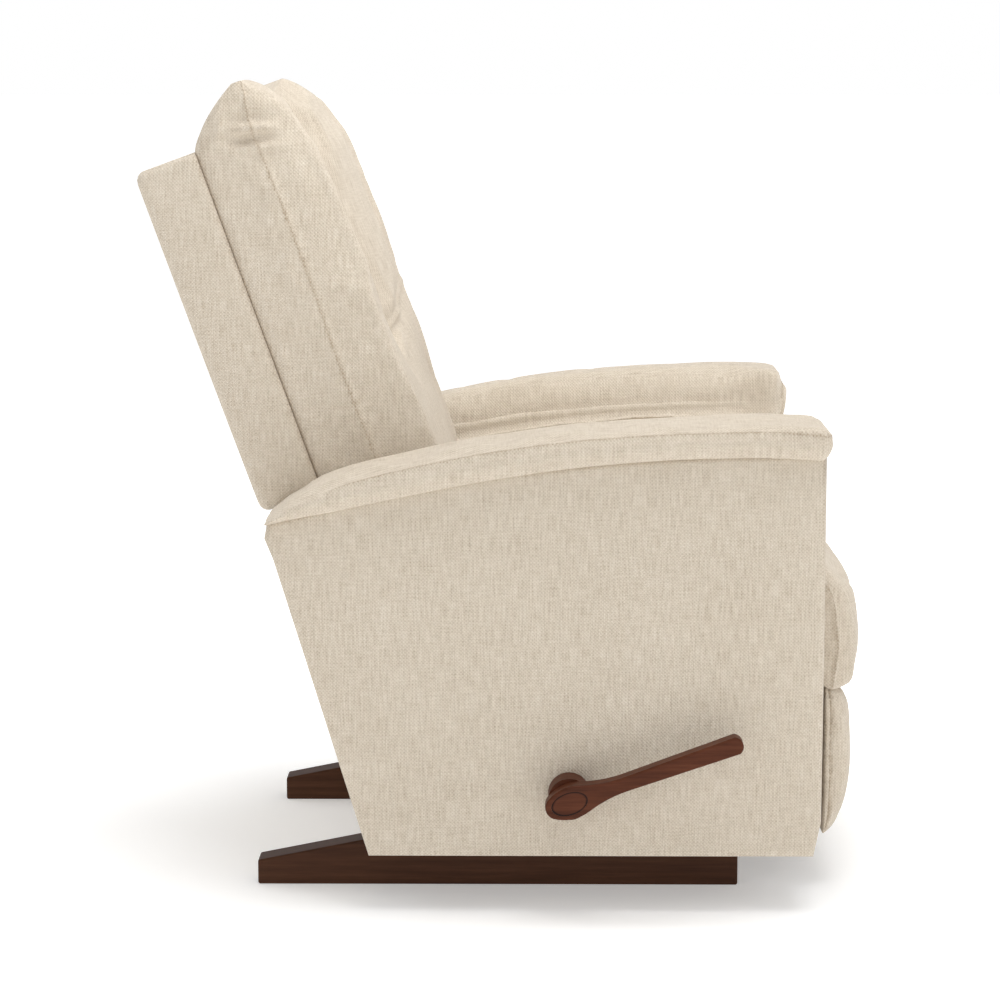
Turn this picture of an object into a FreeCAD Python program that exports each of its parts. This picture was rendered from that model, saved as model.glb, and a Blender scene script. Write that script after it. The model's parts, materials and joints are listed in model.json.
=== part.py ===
import FreeCAD, Part
import math
import os

# Rocking recliner in millimetres: X runs forward, Z up, and the sitter's right side is at -Y.
# The origin lies on the floor under the rocking line, on the middle plane of the chair.

V = FreeCAD.Vector
SIDES = {"right": -1.0, "left": 1.0}

# Clearances and overruns
clearance = 0.3
running_fit = 0.05
push_fit = 0.02
overrun = 1.0

# Base
runner_in = 212.0
runner_out = 255.0
runner_top = 62.0
runner_front = 284.0
runner_rear = 361.0
runner_tip_top = 33.0
runner_taper_start = 216.0
runner_edge = 3.0
stretcher_half = 85.0
stretcher_thick = 24.0
end_stretcher_wide = 26.0
end_stretcher_low = 10.0
front_stretcher_x = 214.0
rear_stretcher_x = 190.0
dowel_radius = 5.0
dowel_length = 40.0
dowel_spread_share = 0.5

# Rocking line and rocker springs
rock_back_deg = 8.0
rock_fore_deg = 5.0
rock_stop_spare_deg = 0.2
cam_in = 210.0
cam_out = 252.0
cam_half = 134.0
cam_top = 150.0
spring_x = 55.0
spring_y = 180.0
spring_coil_radius = 14.0
spring_wire_radius = 2.0
spring_turns = 6
spring_low = 27.0
spring_high = 104.0
spring_plate = 3.0
spring_plate_half_wide = 18.0
spring_stud_radius = 10.0
spring_stud_high = 8.0
shelf_flange_low = 80.0

# Cross rails
cross_thick = 25.0
cross_gap = 1.0
cross_low = 90.0

# Width between the arms, and the arms across
sitting_half = 262.0
back_side_gap = 8.0
arm_in = sitting_half + back_side_gap
arm_wide = 118.0
side_out = arm_in + arm_wide

# Arm boxes
cover_thick = 5.0
outer_board_thick = 18.0
inner_board_thick = 12.0
top_board_thick = 15.0
end_board_thick = 18.0
side_low = 75.0
side_front = 382.0
side_front_foot = 374.0
side_foot_high = 120.0
side_rear_foot = 205.0
side_rear_bend = 325.0
side_rear_bend_z = 463.0
side_rear_knee = 336.0
side_rear_knee_z = 490.0
side_rear_top = 332.0
side_rear_top_z = 512.0
side_mid_x = 60.0
side_mid_top_z = 586.0
side_front_top_z = 599.0
shaft_hole_radius = 10.0

# Arm pads
pad_lap_out = 17.0
pad_lap_in = 8.0
pad_out = side_out + pad_lap_out
pad_in = arm_in - pad_lap_in
pad_lip = 5.0
pad_rear = 334.0
pad_front = 388.0
pad_high = 645.0
# Shares of the pad's length from its rear, then of its height: underside, side top, crown
pad_shares = (
    (0.000, 0.7907, 0.7946, 0.8000),
    (0.042, 0.8031, 0.8279, 0.8419),
    (0.136, 0.8233, 0.8713, 0.8930),
    (0.241, 0.8496, 0.9023, 0.9225),
    (0.417, 0.8868, 0.9411, 0.9612),
    (0.591, 0.9132, 0.9643, 0.9845),
    (0.766, 0.9256, 0.9767, 0.9969),
    (0.864, 0.9287, 0.9798, 1.0000),
    (0.940, 0.9287, 0.9752, 0.9953),
    (0.972, 0.9287, 0.9643, 0.9829),
    (0.992, 0.9318, 0.9519, 0.9674),
    (1.000, 0.9395, 0.9457, 0.9535),
)

# Rear panel between the arms
rear_low = 110.0
rear_high = 448.0
rear_board_high = 425.0
rear_inset = 4.0
rear_board_thick = 15.0

# Fullness of the padding across the chair
swell_shares = (0.0, 0.3, 0.55, 0.75, 0.88, 0.96, 1.0)
swell_power = 14

# Seat
seat_rail_thick = 38.0
seat_rail_low = 300.0
seat_rail_high = 345.0
seat_rail_rear = 180.0
seat_rail_front = 340.0
seat_end_thick = 22.0
seat_wire_radius = 1.8
seat_wire_pitch = 26.0
seat_wire_half = 22.0
seat_wire_rows = 5
seat_wire_spacing = 88.0
seat_side_gap = 7.0
seat_half = arm_in - seat_side_gap
seat_rear = 150.0
seat_top_rear = 466.0
seat_top_mid = 480.0
seat_top_front = 482.0
seat_mid_x = 90.0
seat_brow_x = 330.0
seat_brow_z = 462.0
seat_brow_mid_x = 388.0
seat_nose_top_x = 414.0
seat_nose_top_z = 424.0
seat_nose_x = 437.0
seat_nose_z = 337.0
seat_crease_x = 418.0
seat_crease_z = 272.0
seat_tuck_x = 405.0
seat_tuck_z = 280.0
seat_lap_z = 302.0
seat_crown = 10.0
seat_side_drop = 12.0

# Outer back
back_tilt_deg = 20.0
back_foot_x = 342.0
back_foot_z = 507.0
back_long = 470.0
back_thick = 84.0
back_half = sitting_half
back_wall = 6.0
back_round = 18.0
back_skirt = 45.0
post_gap = 15.0
post_wide = 30.0
post_out = back_half - post_gap
post_in = post_out - post_wide
post_deep = 50.0
post_end_gap = 8.0
rail_wide = 45.0

# Back cushion: shares of the back's length, then of the cushion's depth past the back (rear, side edge,
# pillow crest, middle), then of the back's half width
cushion_deep = 168.0
cushion_shares = (
    (-0.132, 0.000, 0.379, 0.784, 0.843, 0.954),
    (-0.047, 0.000, 0.439, 0.927, 0.998, 0.985),
    (0.087, 0.000, 0.451, 0.861, 0.921, 0.992),
    (0.213, 0.000, 0.439, 0.772, 0.814, 0.989),
    (0.294, 0.000, 0.421, 0.713, 0.707, 0.981),
    (0.438, 0.000, 0.451, 0.867, 0.766, 0.996),
    (0.638, 0.000, 0.457, 0.843, 0.730, 1.000),
    (0.851, 0.000, 0.451, 0.784, 0.683, 0.996),
    (1.000, 0.000, 0.439, 0.707, 0.617, 0.985),
    (1.089, 0.153, 0.415, 0.617, 0.546, 0.962),
    (1.145, 0.332, 0.391, 0.486, 0.457, 0.916),
)
crest_share = 0.58

# Back hinge
hinge_x = 215.0
hinge_z = 400.0
hinge_pin_radius = 5.0
hinge_plate_thick = 5.0
hinge_plate_half = 32.0
bracket_thick = 5.0
bracket_radius = 18.0
bracket_rise = 250.0
bracket_foot = 70.0
bracket_front_gap = 6.0
bracket_wide = 18.0

# Drive shaft, handle and mechanism plates
shaft_x = 55.0
shaft_z = 160.0
shaft_radius = 7.0
bush_radius = 11.0
bush_flange_radius = 14.0
bush_flange = 1.5
plate_in = 205.0
plate_out = 210.0
hub_radius = 27.0
hub_length = 36.0
lever_thick = 24.0
lever_deg = 19.6
lever_long = 226.0
lever_tip_half = 11.5
lever_tip_round = 7.5
lever_neck_half = 9.4
lever_neck_at = 77.0
lever_flare_half = 11.4
lever_flare_at = 48.0
spoon_long = 32.0
spoon_wide = 21.0
spoon_end_half = 18.3
spoon_end_at = 20.0
spoon_heel_share = 0.72
spoon_heel_half_share = 0.66
lever_edge = 3.0
lever_bore_deep = 12.0
inset_long = 24.0
inset_wide = 14.5
inset_deep = 3.0

# Leg-rest scissor
scissor_x = 250.0
scissor_z = 236.0
link_long = 165.0
scissor_rise_deg = 5.0
fold_deg = 83.0
open_deg = 15.0
link_radius = 9.0
link_thick = 4.0
layer_gap = 2.0
pin_radius = 4.0
pin_spare = 1.0
crank_long = 34.5
crank_deg = 85.2
tail_long = 38.5
tail_deg = -12.0
rod_long = 207.8
rod_deg = 22.5
rod_eye_spare = 1.2
slot_spare = 0.5
bolt_radius = 4.0
bolt_head_radius = 7.0
bolt_head = 3.0
bolt_shares = (0.04, 0.88)
bolt_z = 122.0
tie_radius = 5.0

# Leg-rest board and pad
board_back = 384.0
board_thick = 12.0
board_low = 85.0
board_high = 240.0
board_half = 245.0
leg_half = sitting_half
leg_foot_x = 398.0
leg_foot_z = 71.0
leg_nose_x = 429.0
leg_nose_z = 185.0
leg_crease_x = 417.0
leg_crease_z = 266.0
leg_tuck_z = 250.0
leg_crown = 9.0
leg_side_drop = 10.0
leg_bracket_low = 120.0
leg_bracket_high = 222.0
leg_bracket_wide = 40.0


def wire_at(place, start, steps):
    # A step is one point for a line, or a pair of points for an arc through the first to the second.
    edges = []
    here = start
    for step in steps:
        if isinstance(step[0], tuple):
            edges.append(Part.Arc(place(here), place(step[0]), place(step[1])).toShape())
            here = step[1]
        else:
            edges.append(Part.LineSegment(place(here), place(step)).toShape())
            here = step
    return Part.Wire(edges)


def slab(y0, y1, start, steps):
    # An outline in X and Z, closed back to its start and thickened across Y.
    closing = [] if steps[-1][-1] == start else [start]
    outline = wire_at(lambda p: V(p[0], y0, p[1]), start, list(steps) + closing)
    return Part.Face(outline).extrude(V(0, y1 - y0, 0))


def block(x0, x1, y0, y1, z0, z1):
    corner = V(min(x0, x1), min(y0, y1), min(z0, z1))
    return Part.makeBox(abs(x1 - x0), abs(y1 - y0), abs(z1 - z0), corner)


def round_bar(radius, y0, y1, x, z):
    low = min(y0, y1)
    return Part.makeCylinder(radius, abs(y1 - y0), V(x, low, z), V(0, 1, 0))


def turned(length, degrees):
    angle = math.radians(degrees)
    return (length * math.cos(angle), length * math.sin(angle))


def moved(point, step):
    return (point[0] + step[0], point[1] + step[1])


def bar(y0, y1, start, end, radius):
    # A flat link with round ends between two points in X and Z.
    run = math.hypot(end[0] - start[0], end[1] - start[1])
    along = ((end[0] - start[0]) * radius / run, (end[1] - start[1]) * radius / run)
    across = (-along[1], along[0])
    a0 = moved(start, across)
    a1 = moved(end, across)
    b0 = (start[0] - across[0], start[1] - across[1])
    b1 = (end[0] - across[0], end[1] - across[1])
    tail = (start[0] - along[0], start[1] - along[1])
    return slab(y0, y1, a0, [a1, (moved(end, along), b1), b0, (tail, a0)])


def paired(maker):
    return Part.makeCompound([maker(side) for side in SIDES.values()])


# Base pieces
def runner(side):
    shape = slab(
        side * runner_in,
        side * runner_out,
        (-runner_rear, 0),
        [
            (runner_front, 0),
            (runner_front, runner_top),
            (-runner_taper_start, runner_top),
            (-runner_rear, runner_tip_top),
        ],
    )
    shape = shape.makeFillet(runner_edge, shape.Edges)
    return shape.cut(Part.makeCompound(dowel_rods(running_fit)))


def stretcher_rows():
    low = end_stretcher_low
    high = end_stretcher_low + stretcher_thick
    return (
        (-stretcher_half, stretcher_half, 0, stretcher_thick),
        (front_stretcher_x, front_stretcher_x + end_stretcher_wide, low, high),
        (-rear_stretcher_x, end_stretcher_wide - rear_stretcher_x, low, high),
    )


def dowel_rods(grow):
    rods = []
    for x0, x1, z0, z1 in stretcher_rows():
        spread = (x1 - x0) * dowel_spread_share / 2
        middle = (x0 + x1) / 2
        for side in SIDES.values():
            near = side * (runner_in - dowel_length / 2 - grow)
            far = side * (runner_in + dowel_length / 2 + grow)
            places = (middle - spread, middle + spread) if x1 - x0 > dowel_length else (middle,)
            for x in places:
                rods.append(round_bar(dowel_radius + grow, near, far, x, (z0 + z1) / 2))
    return rods


def stretcher(row):
    x0, x1, z0, z1 = row
    return block(x0, x1, -runner_in, runner_in, z0, z1).cut(Part.makeCompound(dowel_rods(running_fit)))


def spring_seat_lower(side):
    y0 = side * (spring_y - spring_plate_half_wide)
    y1 = side * (spring_y + spring_plate_half_wide)
    plate = block(-stretcher_half, stretcher_half, y0, y1, stretcher_thick, spring_low)
    for x in (-spring_x, spring_x):
        foot = V(x, side * spring_y, stretcher_thick)
        plate = plate.fuse(Part.makeCylinder(spring_stud_radius, spring_plate + spring_stud_high, foot))
    return plate.removeSplitter()


def spring_seat_upper(side):
    y0 = side * (spring_y - spring_plate_half_wide)
    flange = side * (cam_in - spring_plate)
    y1 = side * cam_in
    shelf = block(-stretcher_half, stretcher_half, y0, y1, spring_high, spring_high + spring_plate)
    shelf = shelf.fuse(block(-stretcher_half, stretcher_half, flange, y1, shelf_flange_low, spring_high))
    for x in (-spring_x, spring_x):
        head = V(x, side * spring_y, spring_high - spring_stud_high)
        shelf = shelf.fuse(Part.makeCylinder(spring_stud_radius, spring_stud_high, head))
    return shelf.removeSplitter()


def biarc(p0, t0, p1, t1):
    # Two arcs that leave p0 along t0 and reach p1 along t1.
    chord = p1 - p0
    bend = 2 * (1 - t0.dot(t1))
    lean = chord.dot(t0 + t1)
    reach = (math.sqrt(lean * lean + bend * chord.dot(chord)) - lean) / bend
    joint = (p0 + p1 + (t0 - t1) * reach) * 0.5
    edges = []
    for start, end, knee in ((p0, joint, p0 + t0 * reach), (joint, p1, p1 - t1 * reach)):
        middle = (start + end) * 0.5
        half = (end - middle).Length
        rise = (knee - middle).Length
        top = middle + (knee - middle) * (half * math.tan(math.atan2(rise, half) / 2) / rise)
        edges.append(Part.Arc(start, top, end).toShape())
    return edges


def coil(x, y):
    low = spring_low + spring_wire_radius
    high = spring_high - spring_wire_radius
    rise = (high - low) / (spring_turns * 2 * math.pi)
    quarter = math.pi / 2

    def spot(k):
        turn = k * quarter
        radial = V(math.cos(turn), math.sin(turn), 0) * spring_coil_radius
        return V(x, y, low + rise * turn) + radial

    def heading(k):
        turn = k * quarter
        round_way = V(-math.sin(turn), math.cos(turn), 0) * spring_coil_radius
        return (round_way + V(0, 0, rise)).normalize()

    edges = []
    for k in range(4 * spring_turns):
        edges += biarc(spot(k), heading(k), spot(k + 1), heading(k + 1))
    path = Part.Wire(edges)
    section = Part.Wire(Part.Circle(spot(0), heading(0), spring_wire_radius).toShape())
    return path.makePipeShell([section], True, False)


def rocker_springs():
    return [coil(x, side * spring_y) for side in SIDES.values() for x in (-spring_x, spring_x)]


# Chassis pieces
def cam(side):
    apex = runner_top + clearance
    rear = apex + cam_half * math.tan(math.radians(rock_back_deg + rock_stop_spare_deg))
    front = apex + cam_half * math.tan(math.radians(rock_fore_deg + rock_stop_spare_deg))
    outline = [(cam_half, front), (cam_half, cam_top), (-cam_half, cam_top), (-cam_half, rear)]
    return slab(side * cam_in, side * cam_out, (0, apex), outline)


def cross_rail(ahead):
    near = ahead * (cam_half + cross_gap)
    far = ahead * (cam_half + cross_gap + cross_thick)
    return block(near, far, -arm_in, arm_in, cross_low, cam_top)


def side_outline(inset, top_drop, low):
    # The arm box seen from the side, drawn in at the front and rear by the inset.
    start = (-side_rear_foot + inset, low)
    return start, [
        (side_front_foot - inset, low),
        (side_front - inset, side_foot_high),
        (side_front - inset, side_front_top_z - top_drop),
        ((side_mid_x, side_mid_top_z - top_drop), (-side_rear_top + inset, side_rear_top_z - top_drop)),
        (-side_rear_knee + inset, min(side_rear_knee_z, side_rear_top_z - top_drop - overrun)),
        (-side_rear_bend + inset, min(side_rear_bend_z, side_rear_knee_z - top_drop - overrun)),
    ]


def arm_prism(side, y0, y1, inset, top_drop, low):
    start, steps = side_outline(inset, top_drop, low)
    return slab(side * y0, side * y1, start, steps)


def shaft_hole(side):
    near = side * (arm_in - overrun)
    far = side * (side_out + overrun)
    return round_bar(shaft_hole_radius, near, far, shaft_x, shaft_z)


def with_shaft_hole(shape, side):
    return shape.cut(shaft_hole(side)) if side == SIDES["right"] else shape


def arm_cover(side):
    shell = arm_prism(side, arm_in, side_out, 0, 0, side_low)
    near = arm_in + cover_thick
    far = side_out - cover_thick
    hollow = arm_prism(side, near, far, cover_thick, -overrun, side_low - overrun)
    return with_shaft_hole(shell.cut(hollow), side)


def arm_outer_board(side):
    out = side_out - cover_thick
    inset = cover_thick + clearance
    shape = arm_prism(side, out - outer_board_thick, out, inset, top_board_thick + clearance, side_low)
    return with_shaft_hole(shape, side)


def arm_inner_board(side):
    near = arm_in + cover_thick
    inset = cover_thick + clearance
    shape = arm_prism(side, near, near + inner_board_thick, inset, top_board_thick + clearance, side_low)
    return with_shaft_hole(shape, side)


def arm_top_board(side):
    inset = cover_thick + clearance
    whole = arm_prism(side, arm_in + cover_thick, side_out - cover_thick, inset, 0, side_low)
    below = arm_prism(side, arm_in, side_out, -overrun, top_board_thick, side_low - overrun)
    return whole.cut(below)


def arm_end_boards(side):
    # The front and rear boards that close the arm box between its two side boards.
    near = arm_in + cover_thick + inner_board_thick + clearance
    far = side_out - cover_thick - outer_board_thick - clearance
    gap = cover_thick + clearance
    drop = top_board_thick + clearance
    whole = arm_prism(side, near, far, gap, drop, side_low)
    core = arm_prism(side, near - overrun, far + overrun, gap + end_board_thick, drop, side_low)
    ends = whole.cut(core.fuse(core.translated(V(0, 0, overrun))).fuse(core.translated(V(0, 0, -overrun))))
    return Part.makeCompound(ends.Solids)


def arm_pad(side):
    wires = []
    middle = (pad_in + pad_out) / 2
    for along, low_share, edge_share, top_share in pad_shares:
        x = along * (pad_rear + pad_front) - pad_rear
        low = low_share * pad_high
        edge = edge_share * pad_high
        top = top_share * pad_high
        points = [(pad_out, low), (pad_out, edge), ((middle, top), (pad_in, edge)), (pad_in, low)]
        wires.append(wire_at(lambda p: V(x, side * p[0], p[1]), (pad_in, low), points))
    whole = Part.makeLoft(wires, True, True)
    seat = arm_prism(side, arm_in - clearance, side_out + clearance, -pad_lip, -clearance, side_low)
    return whole.cut(seat)


def rear_slab(y, gap, thick, high):
    # A slanting panel behind the seat, laid along the rear edge of the arm boxes.
    lean = (-side_rear_bend + side_rear_foot) / (side_rear_bend_z - side_low)

    def edge(z, shift):
        return (-side_rear_foot + lean * (z - side_low) + rear_inset + shift, z)

    far = gap + thick
    return slab(-y, y, edge(rear_low, gap), [edge(rear_low, far), edge(high, far), edge(high, gap)])


def rear_panel_cover():
    return rear_slab(arm_in - clearance, 0, cover_thick, rear_high)


def rear_panel_board():
    return rear_slab(arm_in, cover_thick, rear_board_thick, rear_board_high)


def mechanism_plate(side):
    left = bolt_shares[0] * cam_half - 3 * bolt_radius
    right = scissor_x + 4 * link_radius
    notch = cam_half + cross_gap + cross_thick + 4 * cross_gap
    low = scissor_z - link_long - link_radius
    outline = [
        (cam_half - overrun, bolt_z - 2.5 * bolt_radius),
        (cam_half - overrun, cam_top + overrun),
        (notch + scissor_x / 4, cam_top + overrun),
        (scissor_x - link_radius, low),
        (right, low),
        (right, scissor_z + link_radius),
        (scissor_x - 2 * link_radius, scissor_z + 2 * link_radius),
        (shaft_x + 2 * bush_flange_radius, shaft_z + 2 * bush_flange_radius),
        (shaft_x - 2 * bush_flange_radius, shaft_z + 2 * bush_flange_radius),
        (left, bolt_z + 3 * bolt_radius),
    ]
    plate = slab(side * plate_in, side * plate_out, (left, bolt_z - 2.5 * bolt_radius), outline)
    near = side * (plate_in - overrun)
    far = side * (plate_out + overrun)
    plate = plate.cut(bar(near, far, lower_rear(1), lower_rear(0), pin_radius + slot_spare))
    plate = plate.cut(round_bar(bush_radius + push_fit, near, far, shaft_x, shaft_z))
    for share in bolt_shares:
        plate = plate.cut(round_bar(bolt_radius + running_fit, near, far, share * cam_half, bolt_z))
    layer = links_layer("outer")
    pin = round_bar(pin_radius, side * (layer[0] - pin_spare), side * plate_in, scissor_x, scissor_z)
    return plate.fuse(pin).removeSplitter()


def plate_bolts():
    bolts = []
    for side in SIDES.values():
        for share in bolt_shares:
            x = share * cam_half
            head = round_bar(bolt_head_radius, side * (plate_in - bolt_head), side * plate_in, x, bolt_z)
            stem = round_bar(bolt_radius, side * plate_in, side * plate_out, x, bolt_z)
            bolts.append(head.fuse(stem).removeSplitter())
    return bolts


def shaft_bush(side):
    body = round_bar(bush_radius, side * plate_in, side * plate_out, shaft_x, shaft_z)
    rim = side * (plate_in - bush_flange)
    flange = round_bar(bush_flange_radius, rim, side * plate_in, shaft_x, shaft_z)
    near = rim - side * overrun
    far = side * (plate_out + overrun)
    bore = round_bar(shaft_radius + running_fit, near, far, shaft_x, shaft_z)
    return body.fuse(flange).cut(bore).removeSplitter()


def hinge_plate(side):
    inner = side * (arm_in - hinge_plate_thick)
    half = hinge_plate_half
    plate = block(-hinge_x - half, half - hinge_x, inner, side * arm_in, hinge_z - half, hinge_z + half)
    pin = round_bar(hinge_pin_radius, side * (post_out - clearance), inner, -hinge_x, hinge_z)
    return plate.fuse(pin).removeSplitter()


# Seat pieces, carried by the arm boxes
def seat_side_rail(side):
    near = side * (arm_in - seat_rail_thick)
    return block(-seat_rail_rear, seat_rail_front, near, side * arm_in, seat_rail_low, seat_rail_high)


def seat_front_rail():
    ahead = seat_rail_front + seat_end_thick
    return block(seat_rail_front, ahead, -arm_in, arm_in, seat_rail_low, seat_rail_high)


def seat_rear_rail():
    behind_it = -seat_rail_rear - seat_end_thick
    return block(behind_it, -seat_rail_rear, -arm_in, arm_in, seat_rail_low, seat_rail_high)


def zigzag(y):
    # One flat wire spring: cross runs joined by half turns, each half turn as two quarter arcs.
    z = seat_rail_high + seat_wire_radius
    bend = seat_wire_pitch / 2
    straight = seat_wire_half - bend
    count = int((seat_rail_front + seat_rail_rear) / seat_wire_pitch)
    quarter_share = math.sqrt(0.5)
    x = -seat_rail_rear
    way = 1.0
    edges = []
    for k in range(count):
        near = V(x, y - way * straight, z)
        far = V(x, y + way * straight, z)
        edges.append(Part.LineSegment(near, far).toShape())
        top = V(x + bend, y + way * (straight + bend), z)
        first = V(x + bend * (1 - quarter_share), y + way * (straight + bend * quarter_share), z)
        second = V(x + bend * (1 + quarter_share), y + way * (straight + bend * quarter_share), z)
        end = V(x + seat_wire_pitch, y + way * straight, z)
        edges.append(Part.Arc(far, first, top).toShape())
        edges.append(Part.Arc(top, second, end).toShape())
        x = x + seat_wire_pitch
        way = -way
    path = Part.Wire(edges)
    start = path.Edges[0].Vertexes[0].Point
    section = Part.Wire(Part.Circle(start, V(0, 1, 0), seat_wire_radius).toShape())
    return path.makePipeShell([section], True, False)


def seat_springs():
    middle = (seat_wire_rows - 1) / 2
    return [zigzag((row - middle) * seat_wire_spacing) for row in range(seat_wire_rows)]


def seat_section(y, swell):
    # The seat seen from the side, fuller by the swell.
    deck = seat_rail_high + 2 * seat_wire_radius + clearance
    lap = seat_rail_front + seat_end_thick + clearance
    steps = [
        (lap, deck),
        (lap, seat_lap_z),
        (seat_tuck_x, seat_tuck_z),
        (seat_crease_x, seat_crease_z),
        ((seat_nose_x + swell, seat_nose_z), (seat_nose_top_x + swell, seat_nose_top_z)),
        ((seat_brow_mid_x + swell, seat_brow_z + swell), (seat_brow_x, seat_top_front + swell)),
        ((seat_mid_x, seat_top_mid + swell), (-seat_rear, seat_top_rear + swell)),
        (-seat_rear, deck),
    ]
    return wire_at(lambda p: V(p[0], y, p[1]), (-seat_rear, deck), steps)


def swelling(half, crown, drop):
    # Stations across the chair with the fullness of each, from the drawn-in side to the crown.
    spread = []
    for share in swell_shares:
        rise = 1 - share * share
        pull = share**swell_power
        spread.append((share * half, crown * rise - drop * pull))
    return [(-y, swell) for y, swell in spread[:0:-1]] + spread


def seat_cushion():
    rows = swelling(seat_half, seat_crown, seat_side_drop)
    return Part.makeLoft([seat_section(y, swell) for y, swell in rows], True, True)


# Back pieces, drawn along the tilted back: u runs up the back and w out of its front
def back_spot(u, w):
    tilt = math.radians(back_tilt_deg)
    x = -back_foot_x - u * math.sin(tilt) + w * math.cos(tilt)
    return (x, back_foot_z + u * math.cos(tilt) + w * math.sin(tilt))


def back_block(u0, u1, y0, y1, w0, w1):
    corners = [back_spot(u0, w1), back_spot(u1, w1), back_spot(u1, w0)]
    return slab(y0, y1, back_spot(u0, w0), corners)


def back_cover():
    whole = back_block(0, back_long, -back_half, back_half, 0, back_thick)
    rear_edges = []
    for edge in whole.Edges:
        spots = [p.Point for p in edge.Vertexes]
        rear = all(abs(behind(p)) < running_fit for p in spots)
        if rear and edge.CenterOfMass.z > back_foot_z + running_fit:
            rear_edges.append(edge)
    whole = whole.makeFillet(back_round, rear_edges)
    inside = back_half - back_wall
    hollow = back_block(-overrun, back_long - back_wall, -inside, inside, back_wall, back_thick + overrun)
    skirt = back_block(-back_skirt, 0, -inside, inside, 0, back_wall)
    return whole.cut(hollow).fuse(skirt).removeSplitter()


def behind(point):
    # How far a point lies ahead of the rear face of the back.
    tilt = math.radians(back_tilt_deg)
    return (point.x + back_foot_x) * math.cos(tilt) + (point.z - back_foot_z) * math.sin(tilt)


def back_post(side):
    top = back_long - back_wall - clearance
    return back_block(post_end_gap, top, side * post_in, side * post_out, back_thick - post_deep, back_thick)


def back_rail(u0):
    return back_block(u0, u0 + rail_wide, -post_in, post_in, back_thick - post_deep, back_thick)


def back_batting():
    # Soft filling behind the frame and in its window.
    top = back_long - back_wall - clearance
    inside = back_half - back_wall - clearance
    face = back_thick - post_deep - clearance
    sheet = back_block(post_end_gap, top, -inside, inside, back_wall + clearance, face)
    low = post_end_gap + rail_wide + clearance
    high = top - rail_wide - clearance
    window = back_block(low, high, clearance - post_in, post_in - clearance, face, back_thick)
    return sheet.fuse(window).removeSplitter()


def back_bracket(side):
    front = back_thick - bracket_front_gap
    rear = front - bracket_wide
    y0 = side * post_out
    y1 = side * (post_out + bracket_thick)
    eye = round_bar(bracket_radius, y0, y1, -hinge_x, hinge_z)
    pivot_w = behind(V(-hinge_x, 0, hinge_z))
    tilt = math.radians(back_tilt_deg)
    pivot_u = (hinge_z - back_foot_z) * math.cos(tilt) - (-hinge_x + back_foot_x) * math.sin(tilt)
    arm = slab(
        y0,
        y1,
        back_spot(pivot_u, pivot_w - bracket_radius),
        [
            back_spot(pivot_u, pivot_w + bracket_radius),
            back_spot(-bracket_foot, front),
            back_spot(bracket_rise, front),
            back_spot(bracket_rise, rear),
            back_spot(0, rear),
        ],
    )
    hole = round_bar(hinge_pin_radius + running_fit, y0, y1, -hinge_x, hinge_z)
    return eye.fuse(arm).removeSplitter().cut(hole)


def back_cushion():
    wires = []
    base = back_thick + clearance
    for up, *depths, wide in cushion_shares:
        u = up * back_long
        half = wide * back_half
        rear, edge, crest, middle = [base + share * cushion_deep for share in depths]

        def place(p):
            x, z = back_spot(u, p[1])
            return V(x, p[0], z)

        steps = [
            (half, rear),
            (half, edge),
            ((half * crest_share, crest), (0, middle)),
            ((-half * crest_share, crest), (-half, edge)),
            (-half, rear),
        ]
        wires.append(wire_at(place, (-half, rear), steps))
    return Part.makeLoft(wires, True, True)


# Drive pieces
def drive_shaft():
    end = side_out + clearance + hub_length + lever_bore_deep
    return round_bar(shaft_radius, -end, plate_out, shaft_x, shaft_z)


def shaft_bore(y0, y1):
    return round_bar(shaft_radius + push_fit, y0, y1, shaft_x, shaft_z)


def shaft_crank(side):
    near, far = links_layer("outer")
    reach = moved((shaft_x, shaft_z), turned(crank_long, crank_deg))
    arm = bar(side * near, side * far, (shaft_x, shaft_z), reach, link_radius)
    boss = round_bar(bush_radius, side * near, side * far, shaft_x, shaft_z)
    inner = links_layer("inner")
    pin = round_bar(pin_radius, side * (inner[0] - pin_spare), side * near, reach[0], reach[1])
    return arm.fuse(boss).fuse(pin).removeSplitter().cut(shaft_bore(side * near, side * far))


def handle_hub():
    near = -(side_out + clearance)
    far = near - hub_length
    return round_bar(hub_radius, near, far, shaft_x, shaft_z).cut(shaft_bore(near, far))


def oval(y, long, wide):
    centre = V(shaft_x, y, shaft_z)
    long_x, long_z = turned(long, lever_deg)
    wide_x, wide_z = turned(wide, lever_deg + 90)
    rim = Part.Ellipse(centre + V(long_x, 0, long_z), centre + V(wide_x, 0, wide_z), centre)
    return Part.Face(Part.Wire(rim.toShape()))


def handle_lever():
    near = -(side_out + clearance + hub_length)
    far = near - lever_thick

    def spot(s, p):
        return moved((shaft_x, shaft_z), moved(turned(s, lever_deg), turned(p, lever_deg + 90)))

    heel = -spoon_long * spoon_heel_share
    heel_half = spoon_wide * spoon_heel_half_share
    outline = [
        (spot(0, -spoon_wide), spot(spoon_end_at, -spoon_end_half)),
        (spot(lever_flare_at, -lever_flare_half), spot(lever_neck_at, -lever_neck_half)),
        spot(lever_long, -lever_tip_half),
        (spot(lever_long + lever_tip_round, 0), spot(lever_long, lever_tip_half)),
        spot(lever_neck_at, lever_neck_half),
        (spot(lever_flare_at, lever_flare_half), spot(spoon_end_at, spoon_end_half)),
        (spot(0, spoon_wide), spot(heel, heel_half)),
        (spot(-spoon_long, 0), spot(heel, -heel_half)),
    ]
    whole = slab(near, far, spot(heel, -heel_half), outline)
    front = [e for e in whole.Edges if all(abs(p.Point.y - far) < running_fit for p in e.Vertexes)]
    whole = whole.makeFillet(lever_edge, front)
    whole = whole.cut(shaft_bore(near, near - lever_bore_deep))
    recess = oval(far - overrun, inset_long + running_fit, inset_wide + running_fit)
    return whole.cut(recess.extrude(V(0, inset_deep + overrun, 0)))


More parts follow.
